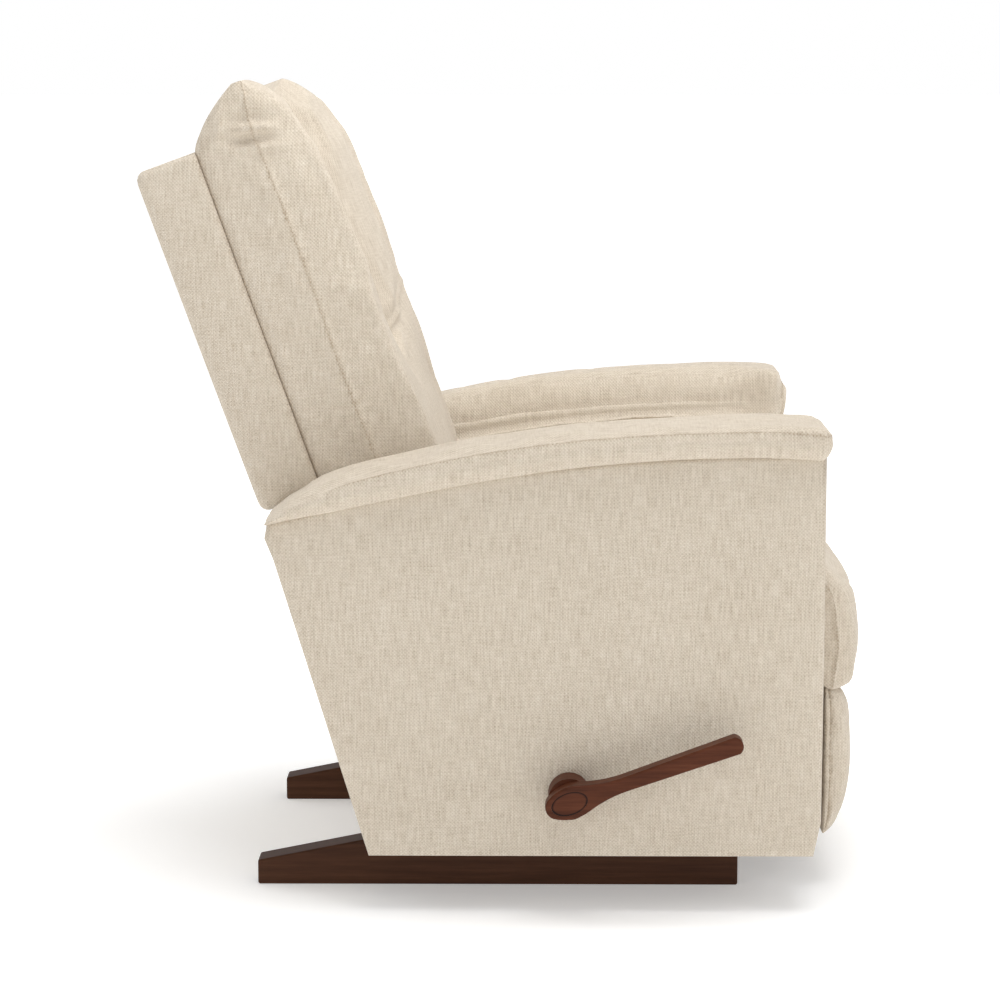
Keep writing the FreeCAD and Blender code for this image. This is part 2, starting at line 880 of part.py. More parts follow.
def handle_inset():
    far = -(side_out + clearance + hub_length + lever_thick)
    return oval(far + inset_deep, inset_long, inset_wide).extrude(V(0, clearance - inset_deep, 0))


# Leg-rest scissor: outer links in one layer, inner links in the next layer in
def links_layer(name):
    outer = plate_in - layer_gap
    if name == "outer":
        return outer - link_thick, outer
    inner = outer - link_thick - layer_gap
    if name == "inner":
        return inner - link_thick, inner
    return inner - 2 * link_thick - layer_gap, inner - link_thick - layer_gap


def fold(share):
    return fold_deg + (open_deg - fold_deg) * share


def upper(stage):
    start = (scissor_x, scissor_z)
    return moved(start, turned(stage * link_long * math.cos(math.radians(fold_deg)), scissor_rise_deg))


def lower_from(point, share):
    return moved(point, turned(link_long * math.sin(math.radians(fold(share))), scissor_rise_deg - 90))


def lower(stage):
    return lower_from(upper(stage), 0)


def lower_rear(share):
    return lower_from((scissor_x, scissor_z), share)


def centre(stage):
    a = upper(stage - 1)
    b = lower(stage)
    return ((a[0] + b[0]) / 2, (a[1] + b[1]) / 2)


def link(side, layer, start, end, holes, pins):
    # A flat link with running holes and inward pins at the points given.
    near, far = links_layer(layer)
    inward = {"outer": "inner", "inner": "bracket"}[layer]
    shape = bar(side * near, side * far, start, end, link_radius)
    for point in pins:
        tip = links_layer(inward)[0] - pin_spare
        shape = shape.fuse(round_bar(pin_radius, side * tip, side * near, point[0], point[1]))
    shape = shape.removeSplitter()
    for point in holes:
        shape = shape.cut(round_bar(pin_radius + running_fit, side * near, side * far, point[0], point[1]))
    return shape


def tail_spot():
    return moved((scissor_x, scissor_z), turned(tail_long, scissor_rise_deg - fold_deg + 180 + tail_deg))


def link_rear_outer(side):
    near, far = links_layer("outer")
    start = (scissor_x, scissor_z)
    shape = link(side, "outer", start, lower(1), [], [centre(1), lower(1)])
    shape = shape.fuse(bar(side * near, side * far, start, tail_spot(), link_radius))
    tip = links_layer("inner")[0] - pin_spare
    pin = round_bar(pin_radius, side * tip, side * near, *tail_spot())
    shape = shape.fuse(pin).removeSplitter()
    return shape.cut(round_bar(pin_radius + running_fit, side * near, side * far, start[0], start[1]))


def link_rear_inner(side):
    shape = link(side, "inner", lower(0), upper(1), [centre(1), upper(1)], [])
    near = side * links_layer("inner")[1]
    guide = round_bar(pin_radius, near, side * (plate_out - clearance), *lower(0))
    return shape.fuse(guide).removeSplitter()


def link_front_outer(side):
    shape = link(side, "outer", upper(1), lower(2), [], [upper(1), centre(2)])
    near = side * links_layer("outer")[0]
    return shape.cut(round_bar(tie_radius + push_fit, near, side * plate_in, *lower(2)))


def link_front_inner(side):
    return link(side, "inner", lower(1), upper(2), [lower(1), centre(2)], [upper(2)])


def tie_bar():
    reach = links_layer("outer")[1]
    return round_bar(tie_radius, -reach, reach, lower(2)[0], lower(2)[1])


def drive_rod(side):
    near, far = links_layer("inner")
    start = moved((shaft_x, shaft_z), turned(crank_long, crank_deg))
    end = moved(start, turned(rod_long, rod_deg))
    shape = bar(side * near, side * far, start, end, link_radius)
    shape = shape.cut(round_bar(pin_radius + running_fit, side * near, side * far, start[0], start[1]))
    return shape.cut(round_bar(pin_radius + rod_eye_spare, side * near, side * far, end[0], end[1]))


def leg_bracket(side):
    near, far = links_layer("bracket")
    pivot = upper(2)
    low = leg_bracket_low
    high = leg_bracket_high
    arm = bar(side * near, side * far, pivot, (board_back - link_radius, high - link_radius), link_radius)
    web = block(board_back - 2 * link_radius, board_back, side * near, side * far, low, high - link_radius)
    foot = block(board_back - link_thick, board_back, side * (far - leg_bracket_wide), side * far, low, high)
    hole = round_bar(pin_radius + running_fit, side * near, side * far, pivot[0], pivot[1])
    return arm.fuse(web).fuse(foot).removeSplitter().cut(hole)


def leg_board():
    return block(board_back, board_back + board_thick, -board_half, board_half, board_low, board_high)


def leg_section(y, swell):
    back = board_back + board_thick + clearance
    steps = [
        (leg_foot_x, leg_foot_z),
        ((leg_nose_x + swell, leg_nose_z), (leg_crease_x, leg_crease_z)),
        (back, leg_tuck_z),
    ]
    return wire_at(lambda p: V(p[0], y, p[1]), (back, leg_foot_z), steps + [(back, leg_foot_z)])


def leg_pad():
    rows = swelling(leg_half, leg_crown, leg_side_drop)
    return Part.makeLoft([leg_section(y, swell) for y, swell in rows], True, True)


def all_parts():
    rows = stretcher_rows()
    parts = {
        "centre_stretcher": stretcher(rows[0]),
        "front_stretcher": stretcher(rows[1]),
        "rear_stretcher": stretcher(rows[2]),
        "base_dowels": Part.makeCompound(dowel_rods(0)),
        "spring_seats_lower": paired(spring_seat_lower),
        "rocker_springs": Part.makeCompound(rocker_springs()),
        "front_cross_rail": cross_rail(1),
        "rear_cross_rail": cross_rail(-1),
        "spring_seats_upper": paired(spring_seat_upper),
        "plate_bolts": Part.makeCompound(plate_bolts()),
        "shaft_bushes": paired(shaft_bush),
        "rear_panel_board": rear_panel_board(),
        "rear_panel_cover": rear_panel_cover(),
        "back_hinge_plates": paired(hinge_plate),
        "seat_front_rail": seat_front_rail(),
        "seat_rear_rail": seat_rear_rail(),
        "seat_springs": Part.makeCompound(seat_springs()),
        "seat_cushion": seat_cushion(),
        "back_cover": back_cover(),
        "back_posts": paired(back_post),
        "back_batting": back_batting(),
        "back_top_rail": back_rail(back_long - back_wall - clearance - rail_wide),
        "back_lower_rail": back_rail(post_end_gap),
        "back_cushion": back_cushion(),
        "drive_shaft": drive_shaft(),
        "shaft_cranks": paired(shaft_crank),
        "handle_hub": handle_hub(),
        "handle_lever": handle_lever(),
        "handle_inset": handle_inset(),
        "drive_rods": paired(drive_rod),
        "rear_outer_links": paired(link_rear_outer),
        "rear_inner_links": paired(link_rear_inner),
        "front_outer_links": paired(link_front_outer),
        "front_inner_links": paired(link_front_inner),
        "leg_tie_bar": tie_bar(),
        "leg_brackets": paired(leg_bracket),
        "leg_board": leg_board(),
        "leg_pad": leg_pad(),
    }
    makers = {
        "runner": runner,
        "rocker_cam": cam,
        "mechanism_plate": mechanism_plate,
        "arm_cover": arm_cover,
        "arm_outer_board": arm_outer_board,
        "arm_inner_board": arm_inner_board,
        "arm_top_board": arm_top_board,
        "arm_end_boards": arm_end_boards,
        "arm_pad": arm_pad,
        "seat_side_rail": seat_side_rail,
        "back_bracket": back_bracket,
    }
    for name, maker in makers.items():
        for side_name, side in SIDES.items():
            parts[name + "_" + side_name] = maker(side)
    return parts


os.makedirs("parts", exist_ok=True)
for node, shape in all_parts().items():
    box = shape.BoundBox
    sizes = [round(long) for long in (box.XLength, box.YLength, box.ZLength)]
    print(node, shape.isValid(), len(shape.Solids), *sizes)
    shape.exportStep("parts/" + node + ".step")
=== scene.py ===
# %% [markdown]
# A rocking recliner in cream cloth, standing on dark walnut runners with a wooden lever at its side. The
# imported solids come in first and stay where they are. Everything soft is modelled again here, over the
# plain solids, because padding, seams and gathers are what the eye reads first on a chair like this.

# %% Load the frame
import json
import math

import bmesh
import bpy
from mathutils import Euler, Matrix, Vector, noise


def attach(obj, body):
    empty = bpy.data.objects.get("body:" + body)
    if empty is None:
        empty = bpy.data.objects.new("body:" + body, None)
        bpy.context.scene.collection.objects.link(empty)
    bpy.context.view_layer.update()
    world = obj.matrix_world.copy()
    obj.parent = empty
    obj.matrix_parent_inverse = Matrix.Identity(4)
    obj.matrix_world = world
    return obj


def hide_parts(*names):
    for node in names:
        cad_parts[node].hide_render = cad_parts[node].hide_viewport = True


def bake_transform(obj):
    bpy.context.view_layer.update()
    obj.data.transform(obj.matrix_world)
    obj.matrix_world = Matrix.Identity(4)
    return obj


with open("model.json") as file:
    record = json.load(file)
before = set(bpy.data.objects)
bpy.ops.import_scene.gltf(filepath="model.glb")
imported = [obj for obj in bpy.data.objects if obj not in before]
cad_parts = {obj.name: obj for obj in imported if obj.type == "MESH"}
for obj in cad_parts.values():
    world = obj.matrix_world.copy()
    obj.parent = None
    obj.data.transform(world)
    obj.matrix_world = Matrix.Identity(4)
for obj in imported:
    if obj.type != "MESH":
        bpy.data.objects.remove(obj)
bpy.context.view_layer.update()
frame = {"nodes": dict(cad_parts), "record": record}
nodes = frame["nodes"]

# %% [markdown]
# Blender keeps data, such as a mesh or a lamp, apart from the object that shows it. Two helpers put data,
# or a finished bmesh, into the scene as an object at the origin, because every piece below needs those
# steps.


# %% Objects
def show(name, data):
    made = bpy.data.objects.new(name, data)
    bpy.context.scene.collection.objects.link(made)
    return made


def show_mesh(name, bm):
    mesh = bpy.data.meshes.new(name)
    bm.to_mesh(mesh)
    bm.free()
    return show(name, mesh)


print("object helpers ready")

# %% [markdown]
# The camera stands level with the top of the back, about four metres off on the sitter's right. A long lens
# keeps the near and far arms almost the same size, as in the photograph. It looks down a little.

# %% Camera
SENSOR_WIDE = 36  # millimetres, as is the lens
LENS = 103.75
CAMERA_PLACE = (0.0, -4.02, 1.061)
CAMERA_DOWN = 8.136  # degrees, as is the turn to the left
CAMERA_LEFT = 0.537

camera_data = bpy.data.cameras.new("camera")
camera_data.sensor_width = SENSOR_WIDE
camera_data.lens = LENS
camera = show("camera", camera_data)
camera.location = CAMERA_PLACE
camera.rotation_euler = Euler((math.radians(90 - CAMERA_DOWN), 0, math.radians(CAMERA_LEFT)))
bpy.context.scene.camera = camera
bpy.context.scene.view_settings.view_transform = "Standard"
print("camera at", tuple(round(v, 2) for v in camera.location))

# %% [markdown]
# A white sweep and wide soft lamps give the even light of a catalogue picture. The main lamp hangs above,
# and weaker ones fill in from the front, from the camera's side and from behind. Small lamps would do too,
# but their shadows have hard edges.

# %% Floor and lamps
FLOOR_REACH = 400  # metres each way, so that the floor's edge is lost in the sky

bm = bmesh.new()
bmesh.ops.create_grid(bm, x_segments=1, y_segments=1, size=FLOOR_REACH)
floor = show_mesh("floor", bm)


def soft_lamp(name, place, aim, size, watts):
    data = bpy.data.lights.new(name, "AREA")
    data.shape = "RECTANGLE"
    data.size, data.size_y = size
    data.energy = watts
    lamp = show(name, data)
    lamp.location = place
    lamp.rotation_euler = (Vector(aim) - Vector(place)).to_track_quat("-Z", "Y").to_euler()


soft_lamp("lamp_top", place=(0.35, -0.3, 3.4), aim=(0, 0, 0.4), size=(2.4, 2.4), watts=81)
soft_lamp("lamp_front", place=(3.0, -2.2, 2.8), aim=(0.1, 0, 0.5), size=(1.8, 1.8), watts=14)
soft_lamp("lamp_side", place=(0.4, -4.4, 3.0), aim=(0, 0, 0.5), size=(2.4, 1.8), watts=9)
soft_lamp("lamp_back", place=(-3.0, 2.6, 2.8), aim=(0, 0, 0.6), size=(2.4, 2.4), watts=22)

# %% [markdown]
# The world is a white sky. An even one would light the chair from all sides and flatten it, so the sky is
# at full strength only near the horizon, where the camera sees it, and dimmer higher up.

# %% Sky
SKY_HEIGHTS = (0.10, 0.45)  # the sky dims between these heights of a direction one unit long
SKY_STRENGTHS = (1.0, 0.33)

world = bpy.data.worlds.new("studio")
bpy.context.scene.world = world
world.use_nodes = True
tree = world.node_tree
sky = tree.nodes["Background"]
sky.inputs["Color"].default_value = (1, 1, 1, 1)
where = tree.nodes.new("ShaderNodeTexCoord")
height = tree.nodes.new("ShaderNodeSeparateXYZ")
fade = tree.nodes.new("ShaderNodeMapRange")
fade.inputs["From Min"].default_value, fade.inputs["From Max"].default_value = SKY_HEIGHTS
fade.inputs["To Min"].default_value, fade.inputs["To Max"].default_value = SKY_STRENGTHS
tree.links.new(where.outputs["Generated"], height.inputs["Vector"])
tree.links.new(height.outputs["Z"], fade.inputs["Value"])
tree.links.new(fade.outputs["Result"], sky.inputs["Strength"])
print("sky strength", SKY_STRENGTHS)

# %% [markdown]
# Materials are sums and products of a few patterns, so a small class lets a socket be used in ordinary
# Python arithmetic: `1 - mask` adds the Math node that does it. Linking such nodes one by one would be
# long.


# %% Shader arithmetic
class Value:
    def __init__(self, finish, socket):
        self.finish = finish
        self.socket = socket

    def _math(self, operation, first, second=0.0):
        return self.finish.node("ShaderNodeMath", {"operation": operation}, {0: first, 1: second}, "Value")

    def __add__(self, other):
        return self._math("ADD", self, other)

    def __radd__(self, other):
        return self._math("ADD", other, self)

    def __sub__(self, other):
        return self._math("SUBTRACT", self, other)

    def __rsub__(self, other):
        return self._math("SUBTRACT", other, self)

    def __mul__(self, other):
        return self._math("MULTIPLY", self, other)

    def __rmul__(self, other):
        return self._math("MULTIPLY", other, self)

    def sine(self):
        return self._math("SINE", self)

    def power(self, other):
        return self._math("POWER", self, other)


print("shader values ready")

# %% [markdown]
# A finish is one material. Any node in it is made by `Finish.node`, from its type, its settings and what
# goes into its sockets, and `Finish.set` feeds the main shader. The other methods are the nodes used most
# here.


# %% Finishes
class Finish:
    def __init__(self, name):
        self.material = bpy.data.materials.new(name)
        self.material.use_nodes = True
        self.tree = self.material.node_tree
        self.shader = self.tree.nodes["Principled BSDF"]

    def node(self, kind, settings, values, output):
        made = self.tree.nodes.new(kind)
        for name, setting in settings.items():
            if name == "stops":
                ramp = made.color_ramp.elements
                ramp[0].position, ramp[0].color = setting[0]
                ramp[1].position, ramp[1].color = setting[-1]
                for position, color in setting[1:-1]:
                    ramp.new(position).color = color
            else:
                setattr(made, name, setting)
        for name, value in values.items():
            self.join(value, made.inputs[name])
        return Value(self, made.outputs[output])

    def join(self, value, socket):
        if isinstance(value, Value):
            self.tree.links.new(value.socket, socket)
        else:
            socket.default_value = value

    def set(self, **values):
        for name, value in values.items():
            self.join(value, self.shader.inputs[name.replace("_", " ")])

    def place(self, stretch=(1, 1, 1), turn=(0, 0, 0), source="Object"):
        where = self.node("ShaderNodeTexCoord", {}, {}, source)
        values = {"Vector": where, "Scale": stretch, "Rotation": turn}
        return self.node("ShaderNodeMapping", {}, values, "Vector")

    def parts(self, vector):
        split = self.node("ShaderNodeSeparateXYZ", {}, {"Vector": vector}, "X").socket.node
        return [Value(self, split.outputs[axis]) for axis in "XYZ"]

    def cloud(self, vector, scale=1.0, detail=2.0, rough=0.5):
        values = {"Vector": vector, "Scale": scale, "Detail": detail, "Roughness": rough}
        return self.node("ShaderNodeTexNoise", {}, values, "Fac")

    def ramp(self, factor, stops):
        stops = [(position, (*color, 1)) for position, color in stops]
        return self.node("ShaderNodeValToRGB", {"stops": stops}, {"Fac": factor}, "Color")

    def bump(self, height, strength, distance):
        values = {"Height": height, "Strength": strength, "Distance": distance}
        self.set(Normal=self.node("ShaderNodeBump", {}, values, "Normal"))


print("finish tools ready")

# %% [markdown]
# The cloth is a thick plain weave of off-white yarn. Each yarn swells and thins along its length, so darker
# and lighter dashes run both ways, longer along the warp. A picture of cloth would repeat, so the weave is
# worked out from noise and sine waves. It reads a UV map laid on in metres, so the yarns keep one size on
# every piece. Fine bump makes the yarns stand up, and a little sheen softens the edges.

# %% Cream cloth
YARN_PAIR = 0.0046  # metres across two neighbouring yarns
YARN_SWAY = 0.0010  # metres by which a yarn strays
SLUB_UP = (460, 34, 1)  # patterns per metre, across and along: long dashes up the cloth
SLUB_SIDE = (46, 420, 1)
CLOTH_TONES = [
    (0.20, (0.36, 0.285, 0.205)),
    (0.38, (0.50, 0.422, 0.328)),
    (0.56, (0.60, 0.522, 0.422)),
    (0.72, (0.665, 0.590, 0.490)),
    (0.92, (0.74, 0.670, 0.575)),
]


def cream_cloth():
    cloth = Finish("cream_cloth")
    flat = cloth.place(source="UV")
    across, along, _ = cloth.parts(flat)
    sway = cloth.cloud(flat, 300.0) * YARN_SWAY
    yarn = 2 * math.pi / YARN_PAIR
    knot = ((across + sway) * yarn).sine() * ((along + sway) * yarn).sine()
    slub_up = cloth.cloud(cloth.place(SLUB_UP, source="UV"))
    slub_side = cloth.cloud(cloth.place(SLUB_SIDE, source="UV"))
    patch = cloth.cloud(flat, 9.0, 3.0)
    shade = knot * 0.13 + slub_up * 0.66 + slub_side * 0.40 + patch * 0.12
    # Painted shade: the attribute read here darkens the cloth along the seams, down the valley between the
    # upper pillows and in the gap behind the back cushion's side strip.
    crease = cloth.node("ShaderNodeAttribute", {"attribute_name": "crease"}, {}, "Fac")
    color = cloth.ramp(shade - crease * 0.20, CLOTH_TONES)
    cloth.set(Base_Color=color, Roughness=0.92 - slub_up * 0.08)
    cloth.bump(knot * 0.6 + slub_up * 0.9 + slub_side * 0.6, strength=0.34, distance=0.0016)
    cloth.set(Sheen_Weight=0.12, Sheen_Roughness=0.5, Specular_IOR_Level=0.25)
    return cloth.material


cream = cream_cloth()
print("made", cream.name)

# %% [markdown]
# The runners and the lever are walnut, and the hidden frame is pale raw timber. Grain runs along the board,
# as noise stretched that way over a slower noise, with short fine pores on top. All of them share one
# recipe.


# %% Timber
def timber(name, stops, stretch, turn=(0, 0, 0), rough=0.45, coat=0.05, groove_shade=None):
    wood = Finish(name)
    grain = wood.cloud(wood.place(stretch, turn), detail=6.0, rough=0.62)
    sway = wood.cloud(wood.place((4, 14, 14), turn))
    pores = wood.cloud(wood.place((60, 900, 900), turn))
    shade = grain * 0.75 + sway * 0.25 + pores * 0.12 - 0.06
    # A groove is drawn as painted shade that darkens the wood's colour.
    if groove_shade:
        shade = shade - groove_shade(wood)
    wood.set(Base_Color=wood.ramp(shade, stops), Roughness=rough + pores * 0.14)
    wood.bump(pores * 0.6 + grain * 0.4, strength=0.12, distance=0.0006)
    wood.set(Coat_Weight=coat, Coat_Roughness=0.35, Specular_IOR_Level=0.13)
    return wood.material


dark_walnut = timber(
    "dark_walnut",
    [(0.30, (0.040, 0.0135, 0.0052)), (0.52, (0.066, 0.0245, 0.0105)), (0.74, (0.098, 0.040, 0.0190))],
    stretch=(6, 130, 130),
)
frame_timber = timber(
    "frame_timber",
    [(0.30, (0.40, 0.26, 0.14)), (0.55, (0.55, 0.39, 0.22)), (0.78, (0.66, 0.49, 0.31))],
    stretch=(5, 90, 90),
    rough=0.6,
    coat=0.0,
)
print("made", dark_walnut.name, frame_timber.name)

# %% [markdown]
# The lever is redder than the runners, and its grain is turned to follow it. The bare oval let into its end
# has a groove along the rim, drawn as painted shade on the wood. A circle that is squeezed and turned like
# the oval finds the rim.

# %% Lever walnut
LEVER_TILT = math.radians(19.6)
OVAL_CENTRE = (0.055, 0.160)  # x and z (metres)
OVAL_HALF = (0.0240, 0.0145)  # half sizes along and across the lever
# Painted shade for the groove round the oval's rim.
OVAL_RIM_SHADE = {"From Min": 0.72, "From Max": 0.92, "To Max": 0.40}  # squared share of the way out, darkening
LEVER_LOOK = {
    "stops": [
        (0.10, (0.012, 0.0040, 0.0020)),
        (0.34, (0.054, 0.0140, 0.0050)),
        (0.52, (0.090, 0.0250, 0.0098)),
        (0.74, (0.128, 0.0420, 0.0190)),
    ],
    "stretch": (9, 150, 150),
    "turn": (0, LEVER_TILT, 0),
    "rough": 0.40,
    "coat": 0.03,
}


# Painted shade: darkens the wood in a ring at the oval's rim, where its groove is.
def oval_groove_shade(wood):
    x, _, z = wood.parts(wood.place())
    ahead, up = x - OVAL_CENTRE[0], z - OVAL_CENTRE[1]
    cosine, sine = math.cos(LEVER_TILT), math.sin(LEVER_TILT)
    along = (ahead * cosine + up * sine) * (1 / OVAL_HALF[0])
    across = (up * cosine - ahead * sine) * (1 / OVAL_HALF[1])
    values = {"Value": along * along + across * across, **OVAL_RIM_SHADE}
    return wood.node("ShaderNodeMapRange", {}, values, "Result")


lever_walnut = timber("lever_walnut", **LEVER_LOOK)
oval_walnut = timber("oval_walnut", **LEVER_LOOK, groove_shade=oval_groove_shade)
print("made", lever_walnut.name, oval_walnut.name)

# %% [markdown]
# The mechanism is black painted steel, with a slight orange-peel in the paint, and the springs are bare
# oiled wire. The bushes are plain nylon. None of it shows much, but it is seen when the leg rest is out, so
# each gets one noise that varies its colour, its gloss and its surface.


# %% Metal, nylon, thread and filling
def plain_finish(name, dark, light, scale, rough, metal=0.0, bump=0.1):
    made = Finish(name)
    spots = made.cloud(made.place(), scale, 3.0)
    made.set(Base_Color=made.ramp(spots, [(0.3, dark), (0.7, light)]), Roughness=rough + spots * 0.16)
    made.set(Metallic=metal)
    made.bump(spots, bump, distance=0.0005)
    return made.material


black_steel = plain_finish("black_steel", (0.012, 0.012, 0.013), (0.03, 0.03, 0.032), 400.0, 0.34)
spring_wire = plain_finish("spring_wire", (0.30, 0.30, 0.31), (0.46, 0.46, 0.47), 300.0, 0.28, metal=1.0)
nylon = plain_finish("nylon", (0.70, 0.68, 0.62), (0.80, 0.79, 0.74), 200.0, 0.45)
# The thread is darker than the cloth: partly a tan thread, partly painted shade for the holes the stitches
# sink into.
thread = plain_finish("sewing_thread", (0.40, 0.32, 0.23), (0.50, 0.41, 0.31), 900.0, 0.8)
filling = plain_finish("fibre_filling", (0.72, 0.71, 0.68), (0.86, 0.86, 0.84), 120.0, 0.85, bump=0.5)
print("made", black_steel.name, spring_wire.name, nylon.name, thread.name, filling.name)

# %% [markdown]
# The ground of the picture is white but keeps a soft shadow under the chair. A plain white floor would come
# out grey, so this one gives off light of its own, weak under the chair and full further out.

# %% Pale floor
GLOW_SPREAD = 0.16  # places on the ramp per metre from the middle
GLOW_TONES = [(0.06, (0.42, 0.42, 0.42)), (0.18, (0.92, 0.92, 0.92)), (0.50, (1.0, 1.0, 1.0))]

sweep = Finish("pale_floor")
floor_x, floor_y, _ = sweep.parts(sweep.place((GLOW_SPREAD, GLOW_SPREAD, 0)))
glow = sweep.ramp((floor_x * floor_x + floor_y * floor_y).power(0.5), GLOW_TONES)
sweep.set(Base_Color=(0.84, 0.84, 0.84, 1), Roughness=0.8, Emission_Color=glow, Emission_Strength=0.75)
floor.data.materials.append(sweep.material)
print("made", sweep.material.name)

# %% [markdown]
# Every solid names its material slot in the record, so one table dresses them all. Only the oval in the
# lever has a finish of its own.

# %% Dress the solids
FINISHES = {
    "runner_wood": dark_walnut,
    "handle_wood": lever_walnut,
    "frame_wood": frame_timber,
    "upholstery": cream,
    "batting": filling,
    "steel": black_steel,
    "spring_steel": spring_wire,
    "bush": nylon,
}
for sub in frame["record"]["subparts"]:
    solid = nodes[sub["node"]]
    solid.data.materials.clear()
    solid.data.materials.append(FINISHES[sub["material_slot"]])
nodes["handle_inset"].data.materials[0] = oval_walnut

# %% [markdown]
# The coil springs stand between the base and the rocking chassis, and the real ones bend when the chair
# rocks. Riding on one body they would run through the seats of the other, so a copy of them is left on no
# body and the solid is hidden.

coils = show("rocker_spring_coils", nodes["rocker_springs"].data.copy())
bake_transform(coils)
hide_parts("rocker_springs")

# %% [markdown]
# A few curves shape all the padding: a step with soft ends, a bump, slow noise and the turn of a rolled
# side. Written once as functions, they keep the shapes below short and alike.


# %% Curves
def smooth(t):
    t = min(1.0, max(0.0, t))
    return t * t * (3 - 2 * t)


def eased(place, start, run):
    return smooth((place - start) / run)


def bell(distance, width):
    return math.exp(-((distance / width) ** 2))


def ripple(x, y, z, scale):
    return noise.noise(Vector((x, y, z)) * scale)


def turned(s, start, flat, square=1.0):
    # Spreads a grid evenly round a rolled side: its place across, and how far it has turned under.
    if s <= flat:
        return s / flat * start, 0.0
    angle = (s - flat) / (1 - flat) * math.pi / 2
    return start + (1 - start) * math.sin(angle) ** square, 1 - max(0.0, math.cos(angle)) ** square


print("curves ready")

# %% [markdown]
# Soft shapes are described by stations: a place along the cushion and the sizes there. Straight lines
# between them would show as bends. So between two stations the sizes follow a smooth curve that never
# swings past either of them, which keeps a long arm free of waves.


# %% Stations
class Stations:
    def __init__(self, *rows):
        self.places, *self.columns = zip(*rows)
        self.grades = [self._grades(column) for column in self.columns]

    def _grades(self, column):
        # The slope at a station lies between those of its neighbours, and is level at a peak.
        points = list(zip(self.places, column))
        steps = [(q[1] - p[1]) / (q[0] - p[0]) for p, q in zip(points, points[1:])]
        inner = [2 * p * q / (p + q) if p * q > 0 else 0.0 for p, q in zip(steps, steps[1:])]
        return [steps[0], *inner, steps[-1]]

    def at(self, place):
        place = min(max(place, self.places[0]), self.places[-1])
        k = next(i for i, end in enumerate(self.places[1:]) if place <= end)
        wide = self.places[k + 1] - self.places[k]
        t = (place - self.places[k]) / wide
        rise, ease = t * t * (3 - 2 * t), t * (1 - t)
        values = []
        for column, grade in zip(self.columns, self.grades):
            bend = ease * ((1 - t) * grade[k] - t * grade[k + 1]) * wide
            values.append(column[k] + (column[k + 1] - column[k]) * rise + bend)
        return values


print("stations ready")

# %% [markdown]
# Every padded piece starts as a cube cut into a grid, and each point of the grid is then moved to its place
# on the cushion. The cube's edges become the seams, so a form is just a function from a point of the cube
# to a point on the chair. The grid's own places stay on the mesh as an attribute, to find the seams again
# later.

# %% Padded blocks
ON_FACE = 0.999  # a grid place beyond this lies on the cube's face


def padded_block(name, cuts, form):
    bm = bmesh.new()
    bmesh.ops.create_cube(bm, size=2)
    for axis, count in enumerate(cuts):
        runs = [e for e in bm.edges if abs((e.verts[0].co - e.verts[1].co)[axis]) > 1e-5]
        bmesh.ops.subdivide_edges(bm, edges=runs, cuts=count, use_grid_fill=True)
    grid = bm.verts.layers.float_vector.new("grid")
    for vert in bm.verts:
        vert[grid] = vert.co
        vert.co = form(*vert.co)
    bmesh.ops.recalc_face_normals(bm, faces=bm.faces)
    return show_mesh(name, bm)


def grid_of(piece):
    return [tuple(spot.vector) for spot in piece.data.attributes["grid"].data]


print("padded block tools ready")

# %% [markdown]
# Cloth is cut from flat panels, so flat sides are nearer to it than a map wrapped round the pad.

# %% Dress the pads
PANEL_AXES = {0: (1, 2), 1: (0, 2), 2: (1, 0)}  # the axes that a face lies in, by the axis it looks along


def lay_weave(mesh):
    layer = mesh.uv_layers.new(name="weave")
    for face in mesh.polygons:
        side = max(range(3), key=lambda k: abs(face.normal[k]))
        u, v = PANEL_AXES[side]
        for loop in face.loop_indices:
            spot = mesh.vertices[mesh.loops[loop].vertex_index].co
            layer.data[loop].uv = (spot[u], spot[v])


def dress_soft(piece, body, replaced):
    piece.data.shade_smooth()
    lay_weave(piece.data)
    piece.data.materials.append(cream)
    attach(piece, body)
    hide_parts(*replaced)
    print(piece.name, len(piece.data.vertices), "points")


print("dressing tools ready")

# %% [markdown]
# A short cloth run makes a formed pad look stuffed. The seams and the hidden side are pinned, the cloth is
# cut a little too large and blown up from inside, so it swells between the seams and gathers along them.
# How far a point may go is capped, because the pad still has to fit the chair.


# %% Cloth
def puff(piece, is_held, pressure, extra, cap, frames=16):
    pins = piece.vertex_groups.new(name="held")
    pins.add([i for i, spot in enumerate(grid_of(piece)) if is_held(*spot)], 1.0, "REPLACE")
    cloth = piece.modifiers.new("cloth", "CLOTH")
    cloth.settings.vertex_group_mass = "held"
    cloth.settings.quality = 5
    cloth.settings.use_pressure = True
    cloth.settings.uniform_pressure_force = pressure
    cloth.settings.shrink_min = -extra
    cloth.settings.effector_weights.gravity = 0
    cloth.point_cache.frame_start = 1
    cloth.point_cache.frame_end = frames
    for step in range(1, frames + 1):
        bpy.context.scene.frame_set(step)
    blown = piece.evaluated_get(bpy.context.evaluated_depsgraph_get()).to_mesh()
    moves = [new.co - old.co for new, old in zip(blown.vertices, piece.data.vertices)]
    piece.modifiers.remove(cloth)
    piece.vertex_groups.clear()
    for vert, move in zip(piece.data.vertices, moves):
        far = move.length
        if far > 1e-7:
            vert.co += move * (cap * math.tanh(far / cap) / far)
    bpy.context.scene.frame_set(1)
    print(piece.name, "moved up to", round(max(m.length for m in moves) * 1000, 1), "mm before the cap")


print("cloth tools ready")

# %% [markdown]
# After the cloth run the mesh is made twice as fine, and the thin details go on: seams are pressed in and
# small gathers are pushed along the surface's own direction. They would be lost in a coarser mesh.


